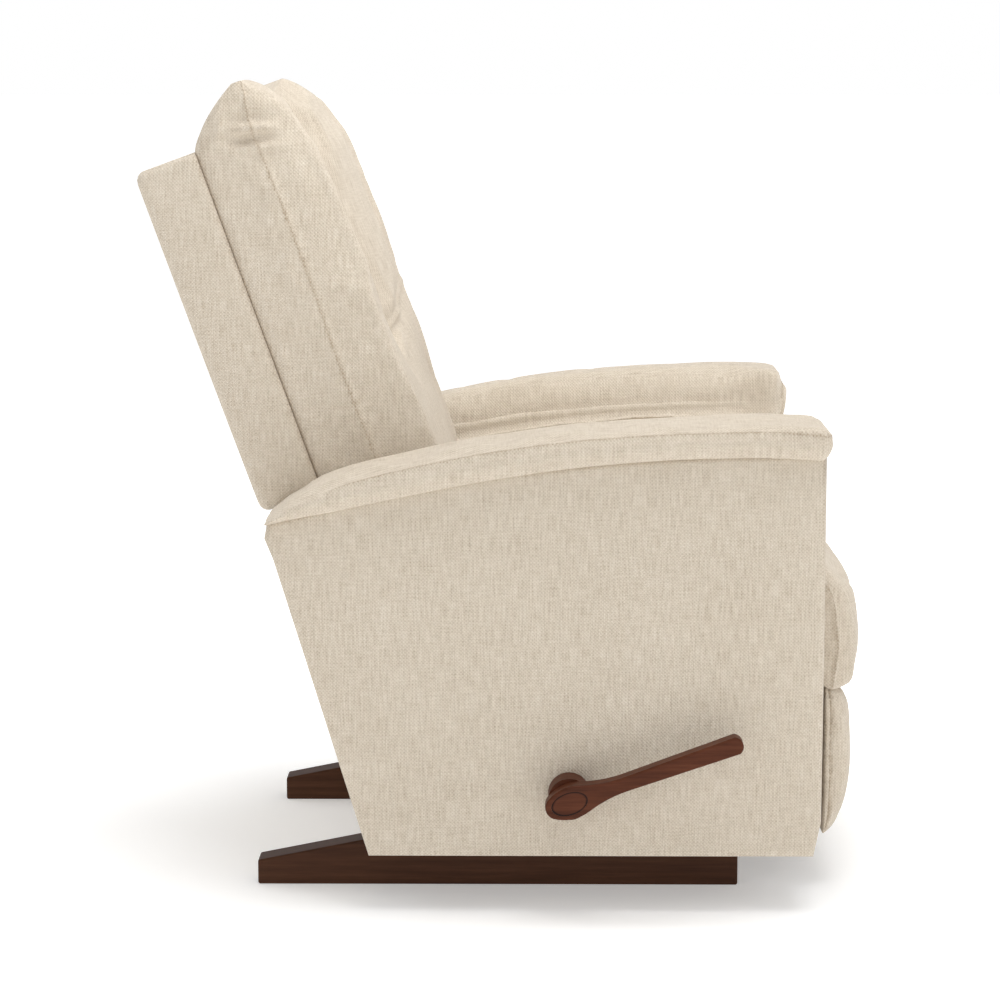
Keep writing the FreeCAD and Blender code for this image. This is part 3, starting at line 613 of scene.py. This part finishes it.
# %% Seams and gathers
def refine(piece, detail):
    finer = piece.modifiers.new("finer", "SUBSURF")
    finer.levels = finer.render_levels = 1
    mesh = bpy.data.meshes.new_from_object(piece.evaluated_get(bpy.context.evaluated_depsgraph_get()))
    piece.modifiers.remove(finer)
    piece.data = mesh
    outward = [vert.normal.copy() for vert in mesh.vertices]
    # Each point also keeps a painted shade value, which darkens the cloth's colour in seams and hollows.
    crease_shades = mesh.attributes.new("crease", "FLOAT", "POINT")
    for i, spot in enumerate(grid_of(piece)):
        push, crease = detail(*spot)
        mesh.vertices[i].co += outward[i] * push
        crease_shades.data[i].value = crease
    mesh.update()


def gathers(along, from_seam, pitch, reach, seed):
    # Short folds across a seam, stronger in some places than in others.
    strength = smooth(0.5 + 1.1 * ripple(along, seed, 0, 14))
    wave = math.sin(2 * math.pi * along / pitch + 5 * ripple(along, seed, 3, 30))
    return strength * wave * bell(from_seam, reach)


print("seam tools ready")

# %% [markdown]
# Seams are sewn with a thick thread. Each stitch is a small stretched bead laid along the seam and partly
# sunk in the cloth, and a whole row of them becomes one piece that rides with its cushion. One long thread
# would look like a cord, because a sewn one dips into the cloth between its stitches.

# %% Stitches
STITCH_PITCH = 0.0060  # metres from one stitch to the next
STITCH_HALF = 0.0021  # half of a stitch's length
THREAD_HALF = 0.00055  # half of its thickness
STITCH_PROUD = 0.3  # share of that half by which its middle stands above the seam


def seam_line(piece, on_seam, order):
    row = sorted((order(*spot), i) for i, spot in enumerate(grid_of(piece)) if on_seam(*spot))
    verts = piece.data.vertices
    return [(verts[i].co.copy(), verts[i].normal.copy()) for _, i in row]


def side_seams(piece, face, along):
    # The two seams between a pad's sides and its panel, given by the axes that face out of it and run up it.
    def on_seam(side):
        return lambda *spot: spot[0] * side > ON_FACE and spot[face] > ON_FACE

    return [seam_line(piece, on_seam(side), lambda *spot: spot[along]) for side in (-1, 1)]


def sew(name, lines, body):
    bm = bmesh.new()
    size = Matrix.Diagonal((STITCH_HALF, THREAD_HALF, THREAD_HALF, 1))
    for line in lines:
        walked = 0.0
        for (start, up), (end, _) in zip(line, line[1:]):
            run = end - start
            ahead = run.normalized()
            across = up.cross(ahead).normalized()
            turn = Matrix((ahead, across, ahead.cross(across))).transposed().to_4x4()
            while walked < run.length:
                where = Matrix.Translation(start + ahead * walked + up * THREAD_HALF * STITCH_PROUD)
                bead = where @ turn @ size
                bmesh.ops.create_uvsphere(bm, u_segments=6, v_segments=4, radius=1, matrix=bead)
                walked += STITCH_PITCH
            walked -= run.length
    piece = show_mesh(name, bm)
    piece.data.shade_smooth()
    piece.data.materials.append(thread)
    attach(piece, body)
    print(name, len(piece.data.polygons), "faces")


print("stitch tools ready")

# %% [markdown]
# The back cushion is two upper pillows side by side over one lumbar pillow. A valley between the upper
# pillows runs down to a pulled-in tuft, and a cross seam falls from both sides to the tuft. Separate
# pillows would leave open joints, so all of it is one block, with its sizes given row by row up the back.

# %% Back cushion stations
BACK_TILT = math.radians(20)
BACK_FOOT = Vector((-0.342, 0, 0.507))
BACK_UP = Vector((-math.sin(BACK_TILT), 0, math.cos(BACK_TILT)))
BACK_OUT = Vector((math.cos(BACK_TILT), 0, math.sin(BACK_TILT)))

# height up the back: rear, side seam, pillow crest, middle, half width (metres)
PILLOWS = Stations(
    (-0.094, 0.118, 0.140, 0.196, 0.206, 0.246),
    (-0.080, 0.098, 0.150, 0.222, 0.232, 0.252),
    (-0.055, 0.080, 0.155, 0.238, 0.246, 0.256),
    (-0.022, 0.0755, 0.155, 0.243, 0.250, 0.258),
    (0.041, 0.0755, 0.156, 0.242, 0.245, 0.259),
    (0.100, 0.0755, 0.155, 0.240, 0.230, 0.259),
    (0.160, 0.0755, 0.154, 0.237, 0.203, 0.259),
    (0.230, 0.0755, 0.156, 0.237, 0.190, 0.260),
    (0.320, 0.0755, 0.157, 0.233, 0.184, 0.260),
    (0.400, 0.0755, 0.156, 0.227, 0.178, 0.259),
    (0.470, 0.0755, 0.155, 0.211, 0.170, 0.257),
    (0.500, 0.096, 0.158, 0.201, 0.168, 0.255),
    (0.524, 0.124, 0.162, 0.186, 0.166, 0.251),
    (0.540, 0.150, 0.163, 0.168, 0.161, 0.246),
)
print("back cushion rows:", len(PILLOWS.places))

# %% [markdown]
# The front of a pillow stands at its crest, turns back to the side seam and sinks to the middle. It is
# pressed in further along the cross seam, down the valley and at the tuft. No two pillows are stuffed
# alike, so the left one is fuller in front and lower at its corner.

# %% Back cushion form
CUSHION_LOW, CUSHION_TOP = -0.094, 0.540  # the cushion's ends, measured up the back (metres)
CUSHION_HALF = 0.26  # about half the width of a cushion, to turn a share across into metres
TUFT_UP = 0.150
SEAM_RISE = 0.058  # from the tuft to the ends of the cross seam
CREST = 0.78  # share of the half width where a pillow begins to turn back
FLAT = 0.68  # share of the grid that is laid before the turn
SQUARE = 0.84  # makes the turn a little squarer than round


def cross_seam(t):
    return TUFT_UP + SEAM_RISE * smooth(t)


def cushion_level(c):
    return CUSHION_LOW + (c + 1) / 2 * (CUSHION_TOP - CUSHION_LOW)


def pillow_front(t, under, level, edge, crest, middle):
    front = edge + (crest - edge) * (1 - under)
    if under == 0:
        front -= (crest - middle) * (1 - t / CREST) ** 2.2
    front -= (0.003 + 0.010 * (1 - t)) * bell(level - cross_seam(t), 0.020) * smooth((0.85 - t) * 4)
    front -= 0.010 * bell(t, 0.10) * smooth((level - TUFT_UP) * 30)
    return front - 0.014 * bell(math.hypot(t * CUSHION_HALF, level - TUFT_UP), 0.040)


def back_form(a, b, c):
    t, under = turned(abs(a), CREST, FLAT, SQUARE)
    level = cushion_level(c)
    _, edge, crest, middle, half = PILLOWS.at(level)
    dip = 0.026 * (1 - smooth(t / 0.70))
    if a > 0:
        crest += 0.011 * eased(level, 0.05, 0.10) + 0.010 * eased(level, 0.33, 0.12)
        dip += 0.012 * smooth((t - 0.5) * 3)
    up = level - dip * eased(level, 0.36, 0.18)
    rear = PILLOWS.at(up)[0]  # keeps the rear against the outer back where the top dips
    out = rear + (pillow_front(t, under, level, edge, crest, middle) - rear) * (b + 1) / 2
    # The side strip swells a little and draws in towards its two seams.
    half += 0.004 * (1 - b * b) - 0.008 * max(0.0, -b) ** 6 - 0.003 * max(0.0, b) ** 10
    spot = BACK_FOOT + BACK_UP * up + BACK_OUT * out
    return Vector((spot.x, math.copysign(t * half, a), spot.z))


back_cushion = padded_block("back_cushion_cloth", (71, 15, 81), back_form)
print(back_cushion.name, "cut into", len(back_cushion.data.polygons), "faces")

# %% [markdown]
# The side strip is sewn to the pillows along its front edge and gathered there, with a few deeper pinches
# where the pillows turn over at the top. Where cloth is pulled in it is also shaded a little, because light
# that is lost in a real crease is finer than this mesh.

# %% Back cushion seams
STRIP_HALF = 0.038  # half the width of the side strip (metres)
ROLL_RUN = 0.105  # cloth from the start of a pillow's turn to the side seam
# height up the back, width (metres) and depth of each fold, where less than none stands out
PINCHES = [(0.478, 0.006, 1.0), (0.492, 0.008, -0.7), (0.464, 0.008, -0.7), (0.452, 0.006, 0.7)]


def back_detail(a, b, c):
    s, level = abs(a), cushion_level(c)
    on_front, on_side = b > ON_FACE, s > ON_FACE
    if not on_front and not on_side:
        return 0.0, 0.0
    t, _ = turned(s, CREST, FLAT, SQUARE)
    from_side = (1 - b) * STRIP_HALF if on_side else (1 - s) / (1 - FLAT) * ROLL_RUN
    push = -0.0032 * bell(from_side, 0.0042)
    push += 0.0011 * gathers(level, from_side, pitch=0.015, reach=0.014, seed=a)
    # Painted shade along the seam.
    crease = bell(from_side, 0.0016)
    if on_side:
        # Painted shade near the strip's rear edge, in the gap against the outer back, low on the cushion.
        crease = max(crease, bell((1 + b) * STRIP_HALF, 0.0030) * smooth((0.50 - level) * 8))
    slant = level + 0.25 * from_side * math.copysign(1, b - ON_FACE)
    pinch = sum(depth * bell(slant - height, width) for height, width, depth in PINCHES)
    push -= 0.0075 * pinch * bell(from_side - 0.006, 0.024)
    if on_front:
        fading = 0.3 + 0.7 * smooth((0.75 - t) * 4)
        on_cross = bell(level - cross_seam(t), 0.0050) * fading * smooth((1 - t) * 8)
        on_middle = bell(t * CUSHION_HALF, 0.0050) * smooth((level - TUFT_UP) * 40)
        push -= 0.0040 * max(on_cross, on_middle)
        # Painted shade along the cross and middle seams, and down the valley between the upper pillows.
        valley = 0.40 * (1 - smooth(t / 0.55)) * smooth((level - TUFT_UP) * 12)
        crease = max(crease, 0.5 * on_cross, 0.5 * on_middle, valley)
    return push, crease


def back_held(a, b, c):
    level = cushion_level(c)
    t, _ = turned(abs(a), CREST, FLAT, SQUARE)
    if b < -0.8 or abs(c) > ON_FACE:
        return True
    on_cross = t < 0.42 and abs(level - cross_seam(t)) < 0.005
    on_middle = t < 0.015 and level > TUFT_UP
    return b > ON_FACE and (t > ON_FACE or on_cross or on_middle)


puff(back_cushion, back_held, pressure=1.6, extra=0.014, cap=0.006)
refine(back_cushion, back_detail)
seams = side_seams(back_cushion, face=1, along=2)
dress_soft(back_cushion, "back", ["back_cushion", "back_batting"])
sew("back_cushion_stitches", seams, "back")

# %% [markdown]
# The seat is one bent slab of padding. It lies flat on the springs, rolls over the front rail and tucks in
# where it meets the leg rest. A bent box would show its bend as an edge, so the slab's outer and inner
# lines are given along it, as seen from the side. Across, the top swells and rolls down to the side seams.

# %% Seat cushion form
SEAT_HALF = 0.2628  # half the seat's width (metres)
SEAT_CREST, SEAT_FLAT = 0.82, 0.76  # where the top turns down: share of the half width, share of the grid
# share along the slab: outer x, outer z, inner x, inner z (metres)
SEAT_LINE = Stations(
    (0.00, -0.150, 0.458, -0.150, 0.350),
    (0.06, -0.112, 0.474, -0.112, 0.350),
    (0.25, 0.020, 0.480, 0.020, 0.350),
    (0.45, 0.160, 0.482, 0.150, 0.350),
    (0.62, 0.280, 0.479, 0.270, 0.350),
    (0.72, 0.345, 0.461, 0.330, 0.350),
    (0.79, 0.392, 0.438, 0.358, 0.350),
    (0.84, 0.4215, 0.4105, 0.3640, 0.342),
    (0.90, 0.4400, 0.371, 0.3640, 0.322),
    (0.945, 0.4460, 0.329, 0.3640, 0.308),
    (0.975, 0.4450, 0.295, 0.3700, 0.300),
    (0.990, 0.4370, 0.274, 0.3880, 0.287),
    (1.000, 0.4190, 0.2665, 0.3930, 0.274),
)


def seat_form(a, b, c):
    along, depth = (b + 1) / 2, (c + 1) / 2
    outer_x, outer_z, inner_x, inner_z = SEAT_LINE.at(along)
    t, under = turned(abs(a), SEAT_CREST, SEAT_FLAT)
    run = Vector((outer_x - inner_x, outer_z - inner_z))
    crown = 0.009 * (1 - t * t) * smooth((1 - along) * 16)
    fall = under * min(0.020 + 0.016 * eased(along, 0.80, 0.10), 0.62 * run.length)
    swell = (crown - fall) * smooth(along * 10)
    run.normalize()
    x = inner_x + (outer_x + run.x * swell - inner_x) * depth
    z = inner_z + (outer_z + run.y * swell - inner_z) * depth
    half = SEAT_HALF - 0.002 * c**8 - 0.004 * max(0.0, -c) ** 3
    return Vector((x, math.copysign(t * half, a), z))


seat_cushion = padded_block("seat_cushion_cloth", (61, 111, 13), seat_form)
print(seat_cushion.name, "cut into", len(seat_cushion.data.polygons), "faces")

# %% [markdown]
# The seat's top is sewn to its sides, and gathered there because it has to go round the front roll. A slow
# ripple keeps the sat-on cloth from looking moulded.

# %% Seat cushion seams
SEAT_RUN = 0.95  # cloth along the slab (metres)
SEAT_SIDE_HALF = 0.055  # half the height of a side
SEAT_ROLL = 0.065  # cloth from the start of the turn to the side seam


def seat_detail(a, b, c):
    s, along = abs(a), (b + 1) / 2 * SEAT_RUN
    on_top, on_side = c > ON_FACE, s > ON_FACE
    if not on_top and not on_side:
        return 0.0, 0.0
    from_side = (1 - c) * SEAT_SIDE_HALF if on_side else (1 - s) / (1 - SEAT_FLAT) * SEAT_ROLL
    push = -0.0030 * bell(from_side, 0.0045)
    push += 0.0022 * gathers(along, from_side, pitch=0.016, reach=0.018, seed=a)
    push += 0.0016 * ripple(a * CUSHION_HALF, along, 0.3, 12) * on_top
    # The second value is painted shade along the side seams.
    return push, bell(from_side, 0.0022)


def seat_held(a, b, c):
    return c < 0.2 or abs(b) > 0.99 or (abs(a) > ON_FACE and c > ON_FACE)


puff(seat_cushion, seat_held, pressure=1.4, extra=0.016, cap=0.006)
refine(seat_cushion, seat_detail)
seams = side_seams(seat_cushion, face=2, along=1)
dress_soft(seat_cushion, "chassis", ["seat_cushion"])
sew("seat_cushion_stitches", seams, "chassis")

# %% [markdown]
# The leg rest is a shallow pad on a board. Its front swells out and rolls back to the board on all sides,
# more squarely at the top than below, where a plain pillow would be round. It is gathered along its side
# seams.

# %% Leg rest pad
LEG_LOW, LEG_HIGH = 0.0715, 0.2700  # heights of its edges (metres)
LEG_REAR, LEG_EDGE, LEG_FRONT = 0.3965, 0.4015, 0.4300  # x of its rear, its lower edge and its front
LEG_HALF = 0.2618
LEG_CREST, LEG_FLAT = 0.84, 0.78  # where the front turns back: share of the half width, share of the grid
LEG_TALL = 0.2  # cloth up the front
LEG_SIDE_HALF = 0.008  # half the depth of a side
LEG_ROLL = 0.055  # cloth from the start of the turn to the side seam


def leg_form(a, b, c):
    t, under = turned(abs(a), LEG_CREST, LEG_FLAT)
    swell = math.sqrt(max(0.0, 1 - abs(c) ** (6.0 if c > 0 else 2.2)))
    edge = LEG_EDGE + 0.012 * smooth(c)
    front = edge + (LEG_FRONT - edge + 0.0065 * (1 - t * t)) * swell
    front -= under * 0.75 * (front - LEG_REAR)
    x = LEG_REAR + (front - LEG_REAR) * (b + 1) / 2
    z = (LEG_LOW + LEG_HIGH) / 2 + (LEG_HIGH - LEG_LOW) / 2 * c
    half = LEG_HALF - 0.008 * c**6 - 0.004 * max(0.0, -b) ** 3
    return Vector((x, math.copysign(t * half, a), z))


def leg_detail(a, b, c):
    s, along = abs(a), (c + 1) / 2 * LEG_TALL
    on_front, on_side = b > ON_FACE, s > ON_FACE
    if not on_front and not on_side:
        return 0.0, 0.0
    from_side = (1 - b) * LEG_SIDE_HALF if on_side else (1 - s) / (1 - LEG_FLAT) * LEG_ROLL
    push = -0.0018 * bell(from_side, 0.0040)
    push += 0.0016 * gathers(along, from_side, pitch=0.016, reach=0.016, seed=a)
    push += 0.0016 * ripple(a * CUSHION_HALF, along, 0.7, 14) * on_front
    # The second value is painted shade along the side seams.
    return push, bell(from_side, 0.0020)


def leg_held(a, b, c):
    return b < 0 or abs(c) > 0.97 or (abs(a) > ON_FACE and b > ON_FACE)


leg_pad = padded_block("leg_rest_cloth", (71, 7, 33), leg_form)
puff(leg_pad, leg_held, pressure=1.2, extra=0.015, cap=0.0035)
refine(leg_pad, leg_detail)
seams = side_seams(leg_pad, face=1, along=2)
dress_soft(leg_pad, "leg_rest", ["leg_pad"])
sew("leg_rest_stitches", seams, "leg_rest")

# %% [markdown]
# Each arm top is a long pad: a crowned top panel sewn to a strip that goes down the outer side and round
# the nose. The pad thins away to the back. Its corners are rounded as seen from above. Beveling them would
# break the grid, so every point is pushed out from a smaller rectangle instead.

# %% Arm pad outline
ARM_MIDDLE = 0.3335  # y of the pad's middle line (metres)
ARM_HALF = 0.0705  # half its width
ARM_REAR, ARM_FRONT = -0.334, 0.3875
ARM_CORNER = 0.026  # size of the rounding at its nose
# x: underside, seam, crown (metres)
ARM_LINE = Stations(
    (-0.334, 0.5095, 0.5120, 0.5150),
    (-0.304, 0.5160, 0.5320, 0.5400),
    (-0.236, 0.5290, 0.5590, 0.5720),
    (-0.160, 0.5455, 0.5790, 0.5910),
    (-0.033, 0.5695, 0.6040, 0.6165),
    (0.093, 0.5865, 0.6190, 0.6315),
    (0.219, 0.5950, 0.6265, 0.6395),
    (0.300, 0.5965, 0.6280, 0.6420),
    (0.350, 0.5945, 0.6260, 0.6400),
    (0.388, 0.5925, 0.6215, 0.6370),
)


def arm_place(a, b):
    return ARM_REAR + (ARM_FRONT - ARM_REAR) * (a + 1) / 2, b * ARM_HALF


def arm_inward(x, y):
    # Distance in from the rounded outline of the pad, seen from above.
    past_x, past_y = x - (ARM_FRONT - ARM_CORNER), abs(y) - (ARM_HALF - ARM_CORNER)
    if past_x > 0 and past_y > 0:
        return ARM_CORNER - max(past_x, past_y)
    return min(ARM_HALF - abs(y), ARM_FRONT - x)


def arm_pushed(x, y):
    # The nearest place in the smaller rectangle, and the push from there to the outline's rounding.
    core = Vector((min(max(x, ARM_REAR + 0.004), ARM_FRONT - ARM_CORNER), 0))
    core.y = min(max(y, ARM_CORNER - ARM_HALF), ARM_HALF - ARM_CORNER)
    push = Vector((x, y)) - core
    if x > core.x and abs(y) > abs(core.y):
        push = push.normalized() * max(abs(push.x), abs(push.y))
    return core, push


print("arm pad rows:", len(ARM_LINE.places))

# %% [markdown]
# The top rises from the seam by its distance from the outline, and turns over more quickly at the nose. On
# the inner side it rolls right down over the arm box, so the seam there lies low, just above a narrow hem.
# The strip swells a little between its seams, and the left pad is stuffed a little higher.

# %% Arm pad form
INNER_DROP = 0.026  # how much lower the pad ends on its inner side (metres)
INNER_HEM = 0.010
LEFT_RISE = 0.004


def arm_rise(x, y):
    nose = eased(x, 0.28, 0.09)
    near = min(1.0, max(0.0, arm_inward(x, y)) / (0.062 - 0.041 * nose))
    return (1 - (1 - near) ** 2) ** (0.5 - 0.13 * nose)


def arm_form(side):
    def form(a, b, c):
        x, y = arm_place(a, b)
        core, push = arm_pushed(x, y)
        strip = (c + 1) / 2
        nose = eased(x, 0.32, 0.05)
        tuck = 0.0035 * (1 - c * c) - 0.0080 * (1 - strip) ** 2 - (0.0055 - 0.0040 * nose) * strip**3
        if push.length > 1e-6:
            push += push.normalized() * tuck * smooth(push.length / ARM_CORNER)
        low, seam, crown = ARM_LINE.at(x)
        crown += LEFT_RISE * (side > 0) * eased(x, -0.25, 0.15)
        inner = eased(-b, 0.50 * nose, 0.77 - 0.27 * nose) * eased(x, -0.30, 0.1)
        low -= INNER_DROP * inner
        seam += (low + INNER_HEM - seam) * inner
        z = seam + (crown - seam) * arm_rise(x, y) if c > ON_FACE else low + (seam - low) * strip
        return Vector((core.x + push.x, side * (ARM_MIDDLE + core.y + push.y), z))

    return form


print("arm pads", round(ARM_FRONT - ARM_REAR, 3), "long and", 2 * ARM_HALF, "wide")

# %% [markdown]
# The strip's seam is pressed in and fades towards the tail, where the pad is thin. Cloth that goes round a
# nose has to be gathered, so the gathers are strongest there. Both arms are made by one loop, mirrored by
# the sign of their side.

# %% Arm pad seams
ARMS = (("right", -1), ("left", 1))
ARM_STRIP_HALF = 0.016  # half the height of the strip (metres)


def arm_detail(a, b, c):
    x, y = arm_place(a, b)
    on_nose = a > ON_FACE
    on_strip = abs(b) > ON_FACE or on_nose
    if b < -0.98 or (c < ON_FACE and not on_strip):
        return 0.0, 0.0
    from_seam = (1 - c) * ARM_STRIP_HALF if on_strip else arm_inward(x, y)
    along = x + (ARM_HALF - y if on_nose else 0)
    fading = eased(x, -0.30, 0.12)
    nose = eased(x, 0.345, 0.035)
    push = -0.0022 * bell(from_seam, 0.0038) * fading
    push += (0.0004 + 0.0011 * nose) * gathers(along, from_seam, pitch=0.015, reach=0.015, seed=2.0)
    push += 0.0009 * ripple(x, b * 0.1, 4.0, 14)
    # The second value is painted shade along the seam, fading towards the tail.
    return push, bell(from_seam, 0.0016) * fading


def arm_held(a, b, c):
    return c < -0.8 or a < -0.97 or (c > ON_FACE and (abs(b) > ON_FACE or a > ON_FACE))


for hand, side in ARMS:
    arm_pad = padded_block("arm_pad_cloth_" + hand, (121, 23, 7), arm_form(side))
    puff(arm_pad, arm_held, pressure=1.0, extra=0.008, cap=0.003, frames=12)
    refine(arm_pad, arm_detail)
    seams = [
        seam_line(arm_pad, lambda a, b, c: b > ON_FACE and c > ON_FACE and a > -0.75, lambda a, b, c: a),
        seam_line(arm_pad, lambda a, b, c: a > ON_FACE and c > ON_FACE, lambda a, b, c: b),
    ]
    dress_soft(arm_pad, "chassis", ["arm_pad_" + hand])
    sew("arm_pad_stitches_" + hand, seams, "chassis")

# %% [markdown]
# The arm boxes are boards wrapped in thin padding and cloth. A box with cut corners would do for the sides,
# but the top line is curved, so the wrap is drawn once as its outline from the side, extruded across the
# arm and rounded along its edges. Underneath it is folded in by a hem and left open in the middle.

# %% Arm covers
ARM_INSIDE = 0.270  # y of the inner face (metres)
ARM_WIDE = 0.118
COVER_ROUND = 0.010
COVER_HEM = 0.020
COVER_WALL = 0.0035
SOLE_TOP = 0.08  # faces that look down below this height are the underside
# x and z (metres): the sole and the front, the top from front to rear, the rear
ARM_OUTLINE = [
    (-0.205, 0.0735), (0.3725, 0.0735), (0.382, 0.120), (0.3825, 0.350), (0.382, 0.601),
    (0.250, 0.5995), (0.120, 0.5925), (-0.010, 0.580), (-0.140, 0.5585), (-0.240, 0.536), (-0.332, 0.512),
    (-0.336, 0.490), (-0.325, 0.463),
]


def arm_cover(hand, side):
    bm = bmesh.new()
    inner = bm.faces.new([bm.verts.new((x, side * ARM_INSIDE, z)) for x, z in ARM_OUTLINE])
    grown = bmesh.ops.extrude_face_region(bm, geom=[inner])["geom"]
    outer = [part for part in grown if isinstance(part, bmesh.types.BMVert)]
    bmesh.ops.translate(bm, vec=(0, side * ARM_WIDE, 0), verts=outer)
    bmesh.ops.recalc_face_normals(bm, faces=bm.faces)
    rim = [e for e in bm.edges if abs(e.verts[0].co.y - e.verts[1].co.y) < 1e-6]
    bmesh.ops.bevel(
        bm,
        geom=rim,
        offset=COVER_ROUND,
        offset_type="OFFSET",
        segments=5,
        profile=0.5,
        affect="EDGES",
        material=-1,
    )
    under = [f for f in bm.faces if f.normal.z < -0.9 and f.calc_center_median().z < SOLE_TOP]
    bmesh.ops.inset_region(bm, faces=under, thickness=COVER_HEM)
    bmesh.ops.delete(bm, geom=under, context="FACES")
    piece = show_mesh("arm_cover_cloth_" + hand, bm)
    dress_soft(piece, "chassis", ["arm_cover_" + hand])
    wall = piece.modifiers.new("wall", "SOLIDIFY")
    wall.thickness = COVER_WALL
    wall.offset = -1


for hand, side in ARMS:
    arm_cover(hand, side)

# %% [markdown]
# The outer back is a flat upholstered tray with soft rounded edges. A bevel would round its edges too, but
# the grid is needed for the slight fullness of its sides and rear, so it is a padded block whose points
# near an edge are drawn in to the rounding.

# %% Outer back
TRAY_LOW = Vector((-0.2615, -0.009, 0.0))  # across, out from the back's line, up the back (metres)
TRAY_HIGH = Vector((0.2615, 0.0765, 0.4740))
TRAY_ROUND = 0.014
TRAY_DRAW = 0.005  # how much the sides draw in at the front
SIDE_FULL, REAR_FULL = 0.003, 0.004  # how much the sides and the rear swell


def tray_form(a, b, c):
    shares = zip(TRAY_LOW, TRAY_HIGH, (a, b, c))
    spot = Vector([low + (high - low) * (k + 1) / 2 for low, high, k in shares])
    core = Vector(spot)
    core.x = min(max(core.x, TRAY_LOW.x + TRAY_ROUND), TRAY_HIGH.x - TRAY_ROUND)
    core.y = max(core.y, TRAY_LOW.y + TRAY_ROUND)
    core.z = min(max(core.z, TRAY_LOW.z + TRAY_ROUND), TRAY_HIGH.z - TRAY_ROUND)
    push = spot - core
    if push.length > TRAY_ROUND:
        spot = core + push.normalized() * TRAY_ROUND
    side = spot.x - TRAY_DRAW * max(0.0, b) ** 10 * a**9
    side += SIDE_FULL * math.copysign(1, a) * (1 - b * b) * (1 - c * c) * (abs(a) > ON_FACE)
    out = spot.y - REAR_FULL * (1 - a * a) * (1 - c * c) * (b < -ON_FACE)
    place = BACK_FOOT + BACK_UP * spot.z + BACK_OUT * out
    return Vector((place.x, side, place.z))


outer_back = padded_block("outer_back_cloth", (71, 21, 61), tray_form)
dress_soft(outer_back, "back", ["back_cover"])

# %% [markdown]
# The rear panel closes the chair below the outer back. It is cloth over a thin board that leans with the
# rear edges of the arm boxes, so it is a thin leaning block with a slight fullness.

# %% Rear panel
PANEL_LOW, PANEL_TALL = 0.110, 0.338  # height of its foot, and its own height (metres)
PANEL_HALF = 0.2692
PANEL_THICK = 0.0045
PANEL_FULL = 0.0008
LEAN_X, LEAN_Z = -0.205, 0.075  # a point on the arm boxes' leaning rear edge
LEAN = 0.120 / 0.388  # how far that edge leans back for its height
PANEL_INSET = 0.004  # how far the panel sits inside the edge


def rear_panel_form(a, b, c):
    z = PANEL_LOW + PANEL_TALL * (c + 1) / 2
    x = LEAN_X - LEAN * (z - LEAN_Z) + PANEL_INSET + PANEL_THICK * (b + 1) / 2
    return Vector((x - PANEL_FULL * (b < 0) * (1 - a * a) * (1 - c * c), a * PANEL_HALF, z))


rear_panel = padded_block("rear_panel_cloth", (41, 2, 31), rear_panel_form)
dress_soft(rear_panel, "chassis", ["rear_panel_cover"])
